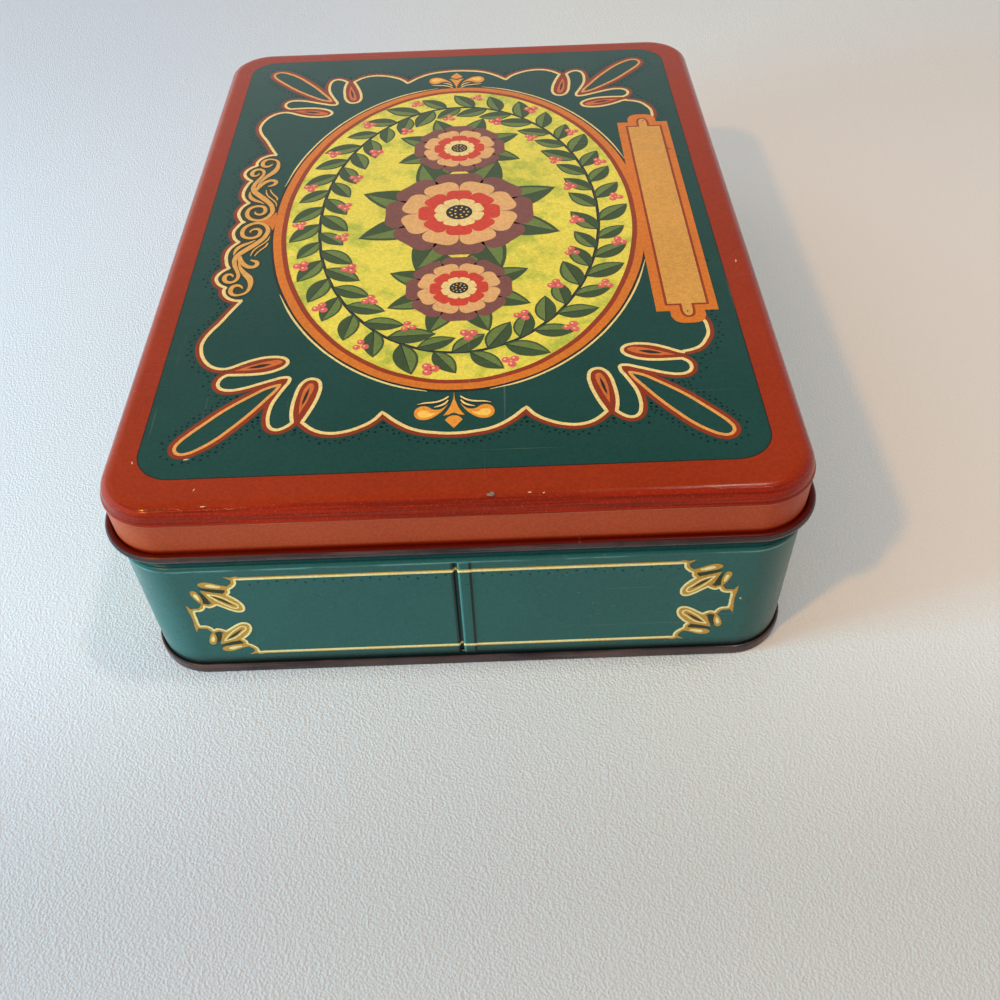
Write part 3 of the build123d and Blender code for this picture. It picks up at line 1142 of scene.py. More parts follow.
upright_slit = outward([(39.9, 88.4, 1, pen), (39.1, 86.5), (38.5, 83.2), (38.4, 81.2, 1, pen), (39.1, 83),
                        (39.7, 86)])
flat_slit = outward([(56.2, 72.4, 1, pen), (53.5, 72.4), (51.2, 71.7), (49.8, 70.9, 1, pen), (52.2, 70.9),
                     (54.4, 71.5)])
upright_ground = outward([(40.4, 95.6, 1, pen), (38.4, 92.5), (36.6, 87.7), (35.7, 82), (37, 78.2),
                          (39.5, 78), (41.5, 81.5), (42.2, 88), (41.9, 93)])
flat_ground = outward([(62.2, 73.6, 1, pen), (60, 71.3), (56, 69.4), (50, 68.1), (46.2, 69), (46, 71.8),
                       (50, 74.3), (56, 75), (60, 75)])
shade_pieces += [reflect(stroke("slant_shade", slant, shade_reach, 0.2, "shade", closed=True)),
                 reflect(patch("upright_ground", upright_ground, "speck")),
                 reflect(patch("flat_ground", flat_ground, "speck"))]
salmon_pieces = [reflect(stroke("slant_line", slant, 0.46, 0.46, "under", closed=True))]
leaf_pieces = [reflect(patch("upright_leaf", upright_leaf, "under")),
               reflect(patch("flat_leaf", flat_leaf, "under"))]
dark_pieces = [reflect(patch("upright_slit", upright_slit, "line")),
               reflect(patch("flat_slit", flat_slit, "line"))]
print("corner leaves:", len(leaf_pieces), "kinds, a slanting loop of", len(slant), "points")

# %% [markdown]
# Two pairs of S-scrolls stand at the left, mirrored about the middle. The bands swell and taper, so each
# point of their lines has its own width. A dark halo under every band sets it off from its neighbours.

# %% Scrolls at the left
scroll_frame = [(-67.9, 1.2, 1, pen), (-69, 0), (-69.8, -1.7), (-70.5, -3.7), (-70.6, -5.4), (-70.2, -7.3),
                (-69.4, -9.1), (-68.1, -10.5, 1, pen), (-69.5, -12.3), (-70.5, -14.4), (-70.9, -16.7),
                (-70.8, -18.8), (-70.4, -21), (-69.8, -23), (-69.1, -24.3, 1, pen), (-70.7, -25.8),
                (-71.8, -27.7), (-72.1, -29.4), (-71.5, -31.4), (-70.2, -33.1), (-68.6, -34.2, 1, pen),
                (-68.9, -35.4), (-68.6, -37.1), (-67.7, -38.8), (-66.2, -40.1), (-64.6, -40.8),
                (-62.7, -40.9, 1, pen)]
great_scroll = [(-65.3, -5.3, 0.45), (-65.3, -4.5, 0.6), (-64.6, -3.7, 0.9), (-63.5, -3.4, 1.1),
                (-62.4, -4.3, 1.2), (-62.2, -6, 1.25), (-62.8, -7.6, 1.2), (-64.2, -8.4, 1.15),
                (-65.8, -8.3, 1.2), (-67.2, -7.3, 1.25), (-67.8, -5.7, 1.3), (-67.8, -3.7, 1.35),
                (-67, -1.8, 1.3), (-65.3, -0.4, 1.2), (-63.3, 0, 1.2), (-61.6, -0.9, 1.25),
                (-60.3, -2.7, 1.3), (-59.8, -4.7, 1.4), (-60.1, -7, 1.5), (-60.8, -9, 1.6),
                (-62.2, -11.1, 1.8), (-64, -13.4, 2.0), (-66, -15.7, 2.0), (-67.4, -17.7, 1.8),
                (-68, -19.8, 1.5), (-67.8, -22, 1.4), (-67.2, -24, 1.3), (-66.3, -26.3, 1.1),
                (-65.7, -28.3, 1.05), (-65.8, -30, 1.05), (-66.5, -31.2, 1.05), (-67.8, -31.7, 1.1),
                (-69.1, -31, 1.3), (-69.7, -29.4, 1.4), (-69.4, -28, 1.3), (-68.5, -27.5, 0.95),
                (-67.6, -28, 0.75), (-67.2, -29, 0.4)]
side_hook = [(-66.8, -18.3, 1.2), (-66.2, -20.3, 1.5), (-65.3, -22, 1.5), (-64, -23.5, 1.5),
             (-62.6, -24.2, 1.45), (-61.3, -23.8, 1.4), (-60.8, -22.6, 1.3), (-61.4, -21.3, 1.2),
             (-62.4, -20.8, 0.9), (-63.2, -20.3, 0.35)]
lower_stem = [(-66.8, -20.5, 0.3), (-66, -23.5, 0.8), (-65, -25.7, 1.3), (-63.7, -27.7, 1.8),
              (-62.3, -29.7, 2.0), (-61.6, -31.7, 1.7), (-61.4, -33.7, 1.3), (-61.6, -35.6, 1.05),
              (-62.3, -37.1, 0.9), (-63.7, -38, 0.85), (-65.3, -38.1, 1.0), (-66.6, -37, 1.3),
              (-66.9, -35.3, 1.4), (-66.5, -33.9, 1.35), (-65.4, -33.3, 1.2), (-64.3, -33.7, 0.9),
              (-63.4, -35, 0.35)]
left_leaf = [(-63.1, -9.7, 0.25), (-64.7, -11, 0.9), (-66.3, -12, 1.3), (-67.7, -13.4, 1.4),
             (-68.5, -15.3, 1.0), (-68.8, -17.5, 0.25)]
flicks = [[(-58.8, -7.7, 0.15), (-59.3, -10, 0.5), (-60.7, -12.2, 0.5), (-62.2, -14.1, 0.5),
           (-63.1, -16, 0.5), (-63.5, -18.3, 0.3)],
          [(-59, -11.6, 0.5), (-59.4, -13.2, 0.6), (-60.6, -15, 0.55), (-61.6, -16.7, 0.5),
           (-62.2, -18.4, 0.3)]]
halo = 0.45
scroll_pieces, halo_pieces = [], []
for i, points in enumerate([great_scroll, side_hook, lower_stem, left_leaf, *flicks]):
    film = "band" if i == 0 else "line"
    scroll_pieces.append(stroke("scroll_band", points, 0.5, 0.5, film))
    wider = [(x, y, width + 2 * halo) for x, y, width in points]
    halo_pieces.append(stroke("scroll_halo", wider, 0.5, 0.5, "under"))
behind = [(x, y, 1, pen) for x, y in (
    (-67.9, 0.74), (-69.5, -1.5), (-70.3, -5), (-68.4, -10.5), (-70.6, -16), (-69.4, -24.3), (-71.8, -29),
    (-68.9, -34.2), (-68.2, -38.2), (-64, -40.4), (-62.6, -38.2), (-65.5, -31), (-67.5, -23), (-67, -17.5),
    (-62, -9), (-61.2, -2), (-60.8, 0.74))]
flare = [(-64.3, 0.74, 1, pen), (-61.6, -0.1), (-59.7, -1.9), (-58.4, -4.6, 1, pen), (-57.6, 0.74, 1, pen)]
halo_pieces.append(patch("scroll_ground", behind, "speck", parts=1))
scroll_bands = reflect(join("scroll_bands", scroll_pieces), in_x=False)
scroll_grounds = reflect(join("scroll_grounds", halo_pieces), in_x=False)
cream_pieces.append(reflect(stroke("scroll_frame", scroll_frame, 0.52, 0.52, "line"), in_x=False))
shade_pieces.append(reflect(stroke("scroll_shade", scroll_frame, 0.2, 1.6, "shade"), in_x=False))
print_on_lid(scroll_bands, scroll_finish)
print_on_lid(scroll_grounds, olive_finish)

# %% [markdown]
# A palmette stands at the middle of each short side: a stem that spreads to an arrow head, a diamond, two
# drops and fine flicks.

# %% Palmettes
stem = [(-0.75, -84.2, 1, pen), (-0.98, -87.2), (-1.35, -88.6), (-2, -90.6), (-2.8, -92.2),
        (-3.5, -93.3, 1, pen), (-2.3, -93.1), (-0.75, -92.4), (0.8, -93.1), (2, -93.3, 1, pen),
        (1.3, -92.2), (0.5, -90.6), (-0.15, -88.6), (-0.52, -87.2)]
diamond = [(-0.75, -93.4), (-2, -93.8), (-3, -95, 1, pen), (-2, -96.4), (-0.75, -98.1, 1, pen), (0.5, -96.4),
           (1.5, -95, 1, pen), (0.5, -93.8)]
drop = [(-2.2, -88.7, 1, pen), (-3, -90.4), (-4.2, -92.1), (-5.6, -93.5), (-7.2, -94.5), (-8.9, -94.7),
        (-10.3, -94), (-11, -92.6), (-10.8, -91), (-10, -90), (-8.8, -89.55), (-7.5, -89.9), (-6.5, -90.7),
        (-5.5, -91.1), (-4.2, -90.9), (-3.1, -90)]
drop_light = [(-5, -92.1, 1, pen), (-6.6, -92.3), (-8, -91.3), (-9.4, -91.3), (-10.1, -92.4), (-9.4, -93.6),
              (-7.8, -93.8), (-6.2, -93.2)]
petal_flicks = [[(-2.2, -86.1, 0.5), (-3.5, -87.2, 0.55), (-4.9, -87.9, 0.6), (-6.5, -88.2, 0.6),
                 (-8.3, -88.3, 0.5), (-10.2, -88.8, 0.15)],
                [(-2.3, -87.5, 0.4), (-3.1, -88.7, 0.6), (-4.3, -89.5, 0.6), (-5.9, -90.05, 0.2)]]
palm_orange = [patch("palm_stem", stem, "band"), patch("palm_diamond", diamond, "band"),
               reflect(patch("palm_drop", drop, "band"), in_y=False)]
palm_light = [reflect(patch("palm_drop_light", drop_light, "over"), in_y=False)]
palm_flicks = [reflect(stroke("palm_flick", points, 0.5, 0.5, "band"), in_y=False) for points in petal_flicks]
petal_halo = 0.4
palm_halos = []
for points in petal_flicks:
    wider = [(x, y, width + 2 * petal_halo) for x, y, width in points]
    palm_halos.append(reflect(stroke("palm_halo", wider, 0.5, 0.5, "line"), in_y=False))
for name, pieces, finish in (("palmettes", palm_orange, palmette_finish),
                             ("palmette_lights", palm_light, drop_finish)):
    print_on_lid(reflect(join(name, pieces), in_x=False), finish)
cream_pieces.append(reflect(join("palmette_flicks", palm_flicks), in_x=False))
dark_pieces.append(reflect(join("palmette_halos", palm_halos), in_x=False))

# %% [markdown]
# The oval frame is four rings, from outside in: a fine cream line, a dark line, a wide orange ring and a
# brown-red ring. Each is a stroke along an ellipse.

# %% Oval frame
oval_centre = (0.42, 1.87)
oval_half = (59.4, 86.4)


def oval_points(start, stop, count, taper=False):
    """Points along the oval between two angles in degrees, measured on the ellipse's own circle."""
    points = []
    for i in range(count):
        angle = math.radians(start + (stop - start) * i / (count - 1))
        width = 0.25 if taper and i in (0, count - 1) else 1
        points.append((oval_centre[0] + oval_half[0] * math.cos(angle),
                       oval_centre[1] + oval_half[1] * math.sin(angle), width))
    return points


whole_oval = oval_points(0, 345, 24)
ring_orange = stroke("ring_orange", whole_oval, 3.5, -1.0, "over", closed=True, parts=5)
ring_red = stroke("ring_red", whole_oval, 5.0, -3.4, "band", closed=True, parts=5)
dark_pieces.append(stroke("ring_dark", whole_oval, 1.2, -0.25, "line", closed=True, parts=5))
for start, stop in ((-152, -98), (-82, -20), (20, 82), (98, 167)):
    cream_pieces.append(stroke("ring_cream", oval_points(start, stop, 9, True), 0.3, 0.3, "band"))
flare_pieces = reflect(patch("ring_flare", flare, "over"), in_x=False)
print_on_lid(join("ring_orange", [flare_pieces, ring_orange]), orange_finish)
print_on_lid(ring_red, oval_red_finish)

# %% [markdown]
# The plaque at the right is a wide orange band round a yellow field, with a brown inner line and a
# rounded tab at each end. Its field is left bare.

# %% Plaque
plaque = {"left": 56.3, "right": 73.9, "low": -53.4, "high": 55.9}
tab = (60.2, 70.0, 5.6)
field = {"left": 59.4, "right": 71.3, "low": -50.5, "high": 53.0}
notch = (63.4, 67.0, 5.6)


def plaque_outline(box, left, right, reach, grow=0.0):
    """The plaque's outline: a rectangle with a round-ended tab at each end."""
    l, r = box["left"] - grow, box["right"] + grow
    a, b = left - grow, right + grow
    low, high, out = box["low"] - grow, box["high"] + grow, reach
    middle, round_half = (a + b) / 2, (b - a) / 2 * 0.72
    return [(l, low, 1, pen), (a, low, 1, pen), (a, low - out * 0.45, 1, pen),
            (middle - round_half, low - out * 0.86), (middle, low - out),
            (middle + round_half, low - out * 0.86), (b, low - out * 0.45, 1, pen), (b, low, 1, pen),
            (r, low, 1, pen), (r, high, 1, pen), (b, high, 1, pen), (b, high + out * 0.45, 1, pen),
            (middle + round_half, high + out * 0.86), (middle, high + out),
            (middle - round_half, high + out * 0.86), (a, high + out * 0.45, 1, pen),
            (a, high, 1, pen), (l, high, 1, pen)]


plaque_band = patch("plaque_band", plaque_outline(plaque, *tab), "plaque")
plaque_line = patch("plaque_line", plaque_outline(field, *notch, 0.35), "top")
plaque_field = patch("plaque_field", plaque_outline(field, *notch, -0.4), "field")
print_on_lid(plaque_band, orange_finish)
print_on_lid(plaque_line, oval_red_finish)
print_on_lid(plaque_field, field_finish)

# %% [markdown]
# What repeats in the print is modelled once and copied: a walk along a line gives even places, and a small
# number that differs from copy to copy, but not from run to run, keeps the rows from looking ruled.


# %% Rows of copies
def walk(points, spacing, closed=False):
    """Places and left-hand directions at even spacing along a smooth line, in mm."""
    line = as_mesh(brush_line("walk", points, closed, 8))
    knots = [v.co.to_2d() / MM for v in line.data.vertices]
    bpy.data.objects.remove(line)
    steps, since = [], spacing / 2
    for a, b in zip(knots, knots[1:]):
        run = (b - a).length
        while run and since <= run:
            along = (b - a) / run
            steps.append((a + along * since, Vector((-along.y, along.x))))
            since += spacing
        since -= run
    return steps


def scatter(name, template, places):
    """Copies a small piece to each (place, turn, size), and joins the copies."""
    copies = []
    for place, turned, size in places:
        one = template.copy()
        one.data = template.data.copy()
        scene.collection.objects.link(one)
        one.data.transform(Matrix.Translation((place[0] * MM, place[1] * MM, 0))
                           @ Matrix.Rotation(turned, 4, "Z") @ Matrix.Diagonal((size, size, 1, 1)))
        copies.append(one)
    bpy.data.objects.remove(template)
    return join(name, copies)


def wobble(i, reach):
    """A repeatable small number between -reach and reach, different for each i."""
    return reach * math.sin(i * 12.9898) * math.cos(i * 4.1414)


def facing(angle):
    """A step of 1 mm in this direction."""
    return Vector((math.cos(angle), math.sin(angle)))


print("the first wobbles are", [round(wobble(i, 1), 2) for i in range(4)])

# %% [markdown]
# Small dark specks follow the outer side of the pen lines, as in the engraver's shading. One speck is
# copied along each line, in two staggered rows, and left out where another line is too near.

# %% Specks round the pen lines
pen_lines = [walk(corner_line, 0.5), walk(slant, 0.5, True), walk(to_scroll, 0.5), walk(scroll_frame, 0.5)]
drawn = [place for line in pen_lines for place, left in line]
near_row, far_row, clear_of_lines = 2.7, 3.7, 2.2
speck_places = []
speck_rows = ((corner_line, 1, 0.95), (slant, 1, 0.95), (to_scroll, 1, 1.1), (scroll_frame, -1, 1.2))
for points, side, spacing in speck_rows:
    for i, (place, left) in enumerate(walk(points, spacing)):
        reach = (near_row if i % 2 else far_row) + wobble(i, 0.2)
        at = place + left * side * reach
        if min((at - other).length for other in drawn) > clear_of_lines and at.x < print_centre[0]:
            speck_places.append((at, wobble(i, 3), 1 + wobble(i + 7, 0.25)))
bpy.ops.object.select_all(action="DESELECT")
bpy.ops.mesh.primitive_cylinder_add(vertices=8, radius=0.33 * MM, depth=(films["speck"] + root_depth) * MM,
                                    location=(0, 0, (films["speck"] - root_depth) / 2 * MM))
specks = reflect(scatter("specks", settle(bpy.context.object), speck_places))
print_on_lid(specks, speck_finish)
print("specks in one corner:", len(speck_places))

# %% [markdown]
# The oval holds a plain posy: three blossoms in a row with big leaves between them, inside a wreath of
# leafy sprigs with berries. It lies on one ground ink, which reaches under the rings. Films that overlap
# lie at their own heights, as one ink lies on another.

# %% Ground of the oval
inner_oval = [(oval_centre[0] + (x - oval_centre[0]) * 0.94, oval_centre[1] + (y - oval_centre[1]) * 0.955)
              for x, y, width in whole_oval]
print_on_lid(patch("oval_ground", inner_oval, "speck", parts=5), meadow_finish)

# %% [markdown]
# A leaf is a blade, a lighter half and a rib, each a film a few microns above the last. It is modelled
# once and copied in two rows beside the wreath's stem, at even distances, so that no two leaves of a row
# overlap.


# %% Leaves of the wreath
def leaf_parts(length, width, low):
    """A leaf that grows from the origin along +X: blade, lit half and rib, on films from low up, in mm."""
    blade = [(0, 0, 1, pen), (length * 0.25, width * 0.42), (length * 0.55, width * 0.5),
             (length * 0.82, width * 0.28), (length, 0, 1, pen), (length * 0.82, -width * 0.28),
             (length * 0.55, -width * 0.5), (length * 0.25, -width * 0.42)]
    lit = [(length * 0.06, 0, 1, pen), (length * 0.28, width * 0.34), (length * 0.55, width * 0.4),
           (length * 0.8, width * 0.2), (length * 0.94, 0, 1, pen)]
    rib = [(0, 0, 0.7), (length * 0.5, 0, 0.55), (length * 0.93, 0, 0.2)]
    return (patch("blade", blade, low, parts=4), patch("lit", lit, low + 0.005, parts=4),
            stroke("rib", rib, 0.22, 0.22, low + 0.009, parts=3))


def garland_line(scale_x, scale_y, count, start=0.0):
    """Evenly spaced places and headings round an oval inside the frame."""
    turns = [2 * math.pi * i / 24 for i in range(24)]
    ring = [(oval_centre[0] + scale_x * math.cos(turn), oval_centre[1] + scale_y * math.sin(turn))
            for turn in turns]
    fine = walk(ring, 0.5, True)
    chosen = [fine[int((i + start) / count * len(fine)) % len(fine)] for i in range(count)]
    return [(place, math.atan2(-left.x, left.y)) for place, left in chosen]


blades, lits, ribs = [], [], []


def sow_leaves(places, length, width, low):
    """Copies one leaf to these places, and keeps its three inks for the leaves' joined pieces."""
    for pile, part in zip((blades, lits, ribs), leaf_parts(length, width, low)):
        pile.append(scatter(part.name, part, places))


wreath_half = (44, 70)
for start, lean, low in ((0.0, 0.75, 0.056), (0.5, -0.75, 0.072)):
    sow_leaves([(place, heading + lean, 1 + wobble(i, 0.12))
                for i, (place, heading) in enumerate(garland_line(*wreath_half, 36, start))], 12.5, 6, low)
whole_wreath = [tuple(place) for place, heading in garland_line(*wreath_half, 24)]
wreath_stem = stroke("wreath_stem", whole_wreath, 0.5, 0.5, "shade", closed=True, parts=5)
print("wreath:", len(blades), "rows of leaves on a stem of", len(whole_wreath), "points")

# %% [markdown]
# Larger leaves point outwards from under each blossom. The same leaf function makes them, longer and
# wider. Those of the middle blossom lie above the others.

# %% Big leaves between the blossoms
posy = [(oval_centre[0], oval_centre[1] + y, size) for y, size in ((0, 1.0), (40.5, 0.66), (-40.5, 0.66))]
big_count, big_reach, big_length, big_width = 8, 7, 27, 12
big_places = []
for x, y, size in posy:
    for i in range(big_count):
        turned = 2 * math.pi * (i + 0.5) / big_count
        big_places.append((Vector((x, y)) + facing(turned) * big_reach * size, turned, size))
sow_leaves([place for place in big_places if place[2] < 1], big_length, big_width, 0.048)
sow_leaves([place for place in big_places if place[2] == 1], big_length, big_width, 0.064)
print_on_lid(join("leaf_blades", blades), leaf_finish)
print_on_lid(join("leaf_lit_halves", lits), leaf_light_finish)
print_on_lid(join("leaf_ribs", [*ribs, wreath_stem]), leaf_dark_finish)

# %% [markdown]
# Berries stand in threes on both sides of the wreath, each with a small glint. One berry is copied three
# times round every place.


# %% Berries
def dot_outline(radius, count, x=0.0, y=0.0):
    """Points evenly round a small circle, in mm."""
    turns = [math.radians(360 / count * i) for i in range(count)]
    return [(math.cos(turn) * radius + x, math.sin(turn) * radius + y) for turn in turns]


berry_places = []
for row, (scale_x, scale_y) in enumerate(((50.5, 77.5), (37, 62.5))):
    for i, (place, heading) in enumerate(garland_line(scale_x, scale_y, 18, 0.25 + row * 0.5)):
        for turn_by in (0.3, 2.4, 4.5):
            berry_places.append((place + facing(heading + turn_by) * 1.4, 0, 1 + wobble(i, 0.15)))
berry = patch("berry", dot_outline(1.2, 6), 0.09, parts=3)
glint = patch("glint", dot_outline(0.35, 4, -0.3, 0.3), 0.094, parts=2)
print_on_lid(scatter("berries", berry, berry_places), berry_finish)
print_on_lid(scatter("berry_glints", glint, berry_places), cream_finish)

# %% [markdown]
# A blossom is four rings of petals, each smaller and higher than the last, round a dark heart with seeds.
# One petal of each ring is modelled and turned round the three middles.


# %% Blossoms
def petal_rings(name, count, start, inner, outer, width, low):
    """One ring of petals in each of the posy's blossoms."""
    middle = (inner + outer) / 2
    petal = patch("petal", [(inner, 0, 1, pen), (middle, width * 0.42), (outer * 0.93, width * 0.5),
                            (outer, 0), (outer * 0.93, -width * 0.5), (middle, -width * 0.42)], low, parts=5)
    places = [(Vector((x, y)), 2 * math.pi * (i + start) / count, size)
              for x, y, size in posy for i in range(count)]
    return scatter(name, petal, places)


petal_rows = (("petals_plum", 0.0, 3, 23.5, 14.5, 0.08, plum_finish),
              ("petals_sand", 0.5, 3, 18.5, 10.5, 0.086, sand_finish),
              ("petals_brick", 0.0, 2, 13, 7.5, 0.092, brick_finish),
              ("petals_cream", 0.5, 1.5, 8, 4.6, 0.098, cream_finish))
for name, start, inner, outer, width, low, finish in petal_rows:
    print_on_lid(petal_rings(name, 8, start, inner, outer, width, low), finish)
hearts = scatter("blossom_hearts", patch("heart", dot_outline(4.2, 8), 0.104, parts=5),
                 [((x, y), 0, size) for x, y, size in posy])
print_on_lid(hearts, leaf_dark_finish)
seeds = []
for x, y, size in posy:
    for reach, count in ((2.9, 10), (1.5, 5)):
        for i in range(count):
            seeds.append((Vector((x, y)) + facing(2 * math.pi * i / count) * reach * size, 0, size))
seed = patch("seed", dot_outline(0.36, 4), 0.108, parts=2)
print_on_lid(scatter("blossom_seeds", seed, seeds), drop_finish)

# %% [markdown]
# A few marks of use are modelled, because they stand out: chips on the front border where the ink has
# come off, a hooked scratch, and a crossed scuff on the plaque. Each is a small ragged patch.


# %% Marks of use
def chip(x, y, size, turned=0.0, longer=1.0, low=0.008):
    """A ragged spot: a ring of points at uneven distances, in mm."""
    corners = []
    for i in range(9):
        angle = 2 * math.pi * i / 9
        reach = size * (1 + wobble(i + round(10 * x), 0.35))
        along, beside = reach * longer * math.cos(angle), reach * math.sin(angle)
        corners.append((x + along * math.cos(turned) - beside * math.sin(turned),
                        y + along * math.sin(turned) + beside * math.cos(turned), 1, pen))
    return patch("chip", corners, low, parts=1)


pale_chips = [chip(17.5, -121.2, 0.2, 0.1, 2.0), chip(20.8, -121.5, 0.18, 0.6, 1.6),
              chip(-67.3, -105.9, 0.2, 0.2, 4.0, 0.05), chip(-80.6, -106.4, 0.16, 1.9, 3.0),
              chip(-63.5, -116.4, 0.15, 1.2, 3.0), chip(-78.8, 42.5, 0.26, 1.4, 2.2),
              chip(82.9, -30.2, 0.22, 1.5, 3.0), chip(-60.4, -122.0, 0.16, 0.1, 4.0)]
print_on_lid(join("pale_chips", pale_chips), pale_chip_finish)
print_on_lid(join("bared_spot", [chip(8.2, -121.4, 0.7, 0.1, 1.3)]), wear_finish)
scuff = [stroke("scuff", [(70.6, 37.3, 0.3), (71.6, 36.8, 1), (73.4, 36.5, 0.3)], 0.12, 0.12, 0.11, parts=3),
         stroke("scuff", [(71.9, 38.3, 0.4), (72.0, 36.9, 1), (72.4, 35.6, 0.4)], 0.1, 0.1, 0.114, parts=3)]
tab_dots = [chip(65.0, -53.7, 0.28, low=0.126), chip(65.4, 56.5, 0.28, low=0.126)]
print_on_lid(join("dark_scuffs", scuff + tab_dots), dark_finish)

# %% [markdown]
# Each wall carries a frame of a gold line with a flourish at either end. One quarter of it is drawn, as
# places in mm from the frame's middle.

# %% Shapes of the wall's frame
frame_middle, line_rise = 24.35, 16.2
pale_half, gold_reach = 0.38, 0.75
wall_line = [(56.5, 16.2), (57.65, 16.2, 1, pen), (57.8, 14.5), (59, 12.9), (59.95, 12.1), (60.1, 10.9),
             (60.95, 9.9, 1, pen), (59.3, 8.2), (57.95, 6), (57.65, 4.2), (58.15, 2.9), (59.4, 2.6),
             (61.1, 3.4), (63.05, 4.9), (64.55, 6, 1, pen), (65.65, 5.2), (66.75, 4.9),
             (67.75, 5.5, 1, pen), (68.35, 4.2), (69.4, 3.5), (71.05, 3.4, 1, pen), (71.25, 2), (71.2, 0)]
stubs = [[(57.4, 16.6, 1, pen), (60.4, 17.3, 1, pen), (58.4, 15.7, 1, pen)],
         [(71.2, 3.4, 1, pen), (72.6, 5.9, 1, pen), (72.5, 2.4, 1, pen), (71.6, 2.4, 1, pen)]]
low_petal = [(67.4, 14.4), (66.5, 15.2), (65.1, 15.3), (63.3, 14.7), (61.3, 13.8), (59.6, 13.3, 1, pen),
             (60.6, 12.2), (62.3, 12.2), (64.6, 12.7), (66.7, 13.4)]
side_petal = [(70.2, 10.9), (69.85, 11.8), (69, 11.9), (68.1, 10.2), (67.75, 8.2), (68, 6, 1, pen),
              (68.9, 7.1), (69.8, 9.1)]
great_petal = [(67.4, 12, 1, pen), (66.3, 11.7), (64, 10.9), (61.6, 10.2), (59.3, 8.2), (57.8, 5.4),
               (57.8, 3.6), (59.1, 2.7), (60.7, 3.2), (63, 4.9), (65.6, 6.9), (66.5, 9.2)]
petal_shades = [[(67.5, 12.9, 1, pen), (64.6, 12.4), (61.3, 12.1), (61.2, 11), (64, 11.2), (66.4, 12)],
                [(67.9, 11.2, 1, pen), (67.7, 9), (67.6, 6.6), (66.5, 6.4), (66.2, 7.6), (66.6, 9.4)]]
inner_line = [(66, 10.4, 1, pen), (63.2, 9.4), (60.6, 7), (59, 4.8), (59.6, 4.1), (61.6, 5.2), (64, 7.6)]
slit = [(65.3, 9.9, 1, pen), (62.4, 8.1), (59.9, 5.1, 1, pen), (62.8, 7.3)]
print("the frame's end line has", len(wall_line), "points")

# %% [markdown]
# The quarter is inked while it lies flat, mirrored into both ends, and joined by straight lines.


# %% Inks of one frame
def shrunk(points, share):
    """The same shape drawn in towards its own middle."""
    x, y = (sum(p[k] for p in points) / len(points) for k in (0, 1))
    return [(x + (p[0] - x) * share, y + (p[1] - y) * share, *p[2:]) for p in points]


def frame_inks(longer):
    """The inks of one wall's frame, laid flat round the print's middle, its ends moved out by longer."""
    def quarter(points):
        return outward([(p[0] + longer, *p[1:]) for p in points])

    gold = [stroke("wall_shade", quarter(wall_line), 1.05, 0.1, "shade")]
    gold += [patch("stub", quarter(points), "ground") for points in stubs]
    gold += [patch("petal", quarter(points), "under") for points in (low_petal, side_petal, great_petal)]
    pale = [stroke("wall_line", quarter(wall_line), 0.31, 0.31, "band"),
            stroke("inner_line", quarter(inner_line), 0.22, 0.22, "line", closed=True)]
    pale += [patch("petal_light", quarter(shrunk(points, 0.5)), "line") for points in (low_petal, side_petal)]
    dark = [patch("slit", quarter(slit), "band")]
    dark += [patch("gap", quarter(points), "speck") for points in petal_shades]
    return {key: reflect(join("frame_" + key, pieces)) for key, pieces in
            (("gold", gold), ("pale", pale), ("dark", dark))}


def straight_inks(runs):
    """The straight lines of a frame, in mm along the wall, above and below its middle."""
    level = print_centre[1] - line_rise
    pale = [stroke("run", [(a, level), (b, level)], pale_half, pale_half, "band", parts=1) for a, b in runs]
    gold = [stroke("run", [(a, level), (b, level)], 0.0, gold_reach, "shade", parts=1) for a, b in runs]
    return {"pale": reflect(join("runs_pale", pale), in_x=False),
            "gold": reflect(join("runs_gold", gold), in_x=False)}


print("straight lines stand", line_rise, "mm above and below the frame's middle")

# %% [markdown]
# On the front the straight lines dip into the groove of the lock seam. Their ink follows the bent lines of
# the hooks, a little further out.


# %% Ink round the lock seam
def ribbon(name, points, low, high, depth):
    """A strip of ink along a bent line in plan, between two heights, in mm."""
    strip = upright_strip(name, points, low, high)
    modify(strip, "SOLIDIFY", thickness=depth * MM, offset=0)
    return tidy_shell(strip)


def round_the_lock(low, high, lift):
    """A strip of ink that dips into the groove left of the lock seam and climbs over the seam's face."""
    half_ink = 0.03
    out = half_gauge + lift - half_ink
    into_groove = bend_line((window_left, face_middle - out), 0, [
        jog_start - window_left, (jog_bend + out, jog_turn), jog_slope, (jog_bend - out, -jog_turn),
        lock_left - 0.2 - jog_start - jog_run], 4)
    over_face = bend_line((window_right, face_middle - out), 180, [
        window_right - lock_right - joggle_run(lock_bend, press_turn), (lock_bend - out, press_turn),
        (lock_bend + out, -press_turn), lock_right - left_fold, (lock_pitch + out, -75)], 4)
    return [ribbon("wrap", line, low, high, 2 * half_ink) for line in (into_groove, over_face)]


print("ink bridges the seam from", window_left, "to", window_right, "mm")

# %% [markdown]
# The four frames are stood up against their walls. Those of the long walls are lengthened to fit.


# %% Frame on the walls
def stand_up(turned, distance):
    """Stands a flat print up on the wall that faces turned: its y becomes height round the frame's middle."""
    return (Matrix.Rotation(math.radians(turned), 4, "Z")
            @ Matrix.Translation((0, -distance * MM, frame_middle * MM))
            @ Matrix.Rotation(math.pi / 2, 4, "X"))


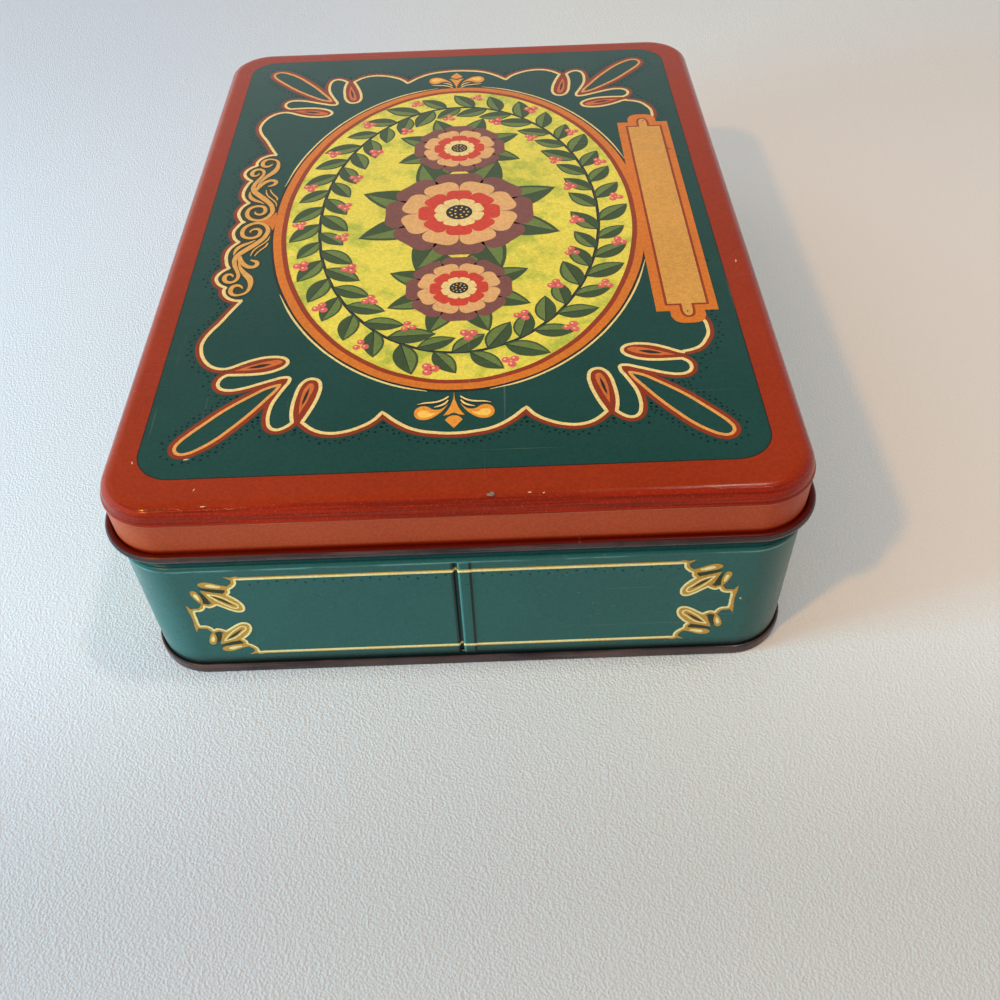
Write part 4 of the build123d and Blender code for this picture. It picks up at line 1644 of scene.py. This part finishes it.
wall_inks = {"gold": [], "pale": [], "dark": [], "speck": []}
walls = ((0, half_length, 0.0), (180, half_length, 0.0), (90, half_width, half_length - half_width),
         (-90, half_width, half_length - half_width))
line_end = 56.6
for turned, distance, longer in walls:
    inks = frame_inks(longer)
    ends = (print_centre[0] - line_end - longer, print_centre[0] + line_end + longer)
    runs = [(ends[0], window_left), (window_right, ends[1])] if turned == 0 else [ends]
    straight = straight_inks(runs)
    for key, piece in [*inks.items(), *straight.items()]:
        piece.data.transform(stand_up(turned, distance) @ Matrix.Translation((0, -print_centre[1] * MM, 0)))
        wall_inks[key].append(piece)


for side in (-1, 1):
    level = frame_middle + side * line_rise
    wall_inks["pale"] += round_the_lock(level - pale_half, level + pale_half, films["band"])
    wall_inks["gold"] += round_the_lock(*sorted((level, level + side * gold_reach)), films["shade"])


def print_on_body(piece, finish):
    """Gives a piece of ink on the walls its finish, and lets it ride on the tin."""
    piece.data.materials.clear()
    piece.data.materials.append(finish)
    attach(piece, "tin")
    print(piece.name, len(piece.data.polygons), "faces")


print_on_body(join("frame_gold", wall_inks["gold"]), gold_finish)
print_on_body(join("frame_pale", wall_inks["pale"]), pale_gold_finish)
print_on_body(join("frame_dark", wall_inks["dark"]), olive_finish)

# %% [markdown]
# Two staggered rows of fine specks lie under the upper line of each wall's frame. One pale fleck, where
# the ink is knocked off, stands beside the right end of the front's frame.

# %% Specks on the walls
speck_level, speck_stagger = 13.9, 0.9
wall_specks = []
for turned, distance, longer in walls:
    places = []
    for i, (place, left) in enumerate(walk([(-56 - longer, 0), (56 + longer, 0)], 2.4)):
        if turned or not window_left - 1 < place.x < window_right + 1:
            level = speck_level + (speck_stagger if i % 2 else 0)
            places.append((Vector((place.x, level)), 0, 1 + wobble(i, 0.2)))
    bpy.ops.object.select_all(action="DESELECT")
    bpy.ops.mesh.primitive_cylinder_add(vertices=6, radius=0.26 * MM, depth=0.06 * MM)
    dots = scatter("wall_specks", bpy.context.object, places)
    dots.data.transform(stand_up(turned, distance))
    wall_specks.append(dots)
print_on_body(join("wall_specks", wall_specks), speck_finish)
fleck = join("wall_fleck", [chip(73.2, 0.4, 0.26, 0.9, 1.5, 0.05)])
fleck.data.transform(stand_up(0, half_length))
print_on_body(fleck, pale_chip_finish)

# %% [markdown]
# Inks of one colour are joined, so that each colour is one piece, as each was one pass of the press.

# %% The joined inks
print_on_lid(join("cream_lines", cream_pieces), cream_finish)
print_on_lid(join("brown_shades", shade_pieces), shade_finish)
print_on_lid(join("salmon_lines", salmon_pieces), salmon_finish)
print_on_lid(join("small_leaves", leaf_pieces), leaf_orange_finish)
print_on_lid(join("dark_lines", dark_pieces), dark_finish)
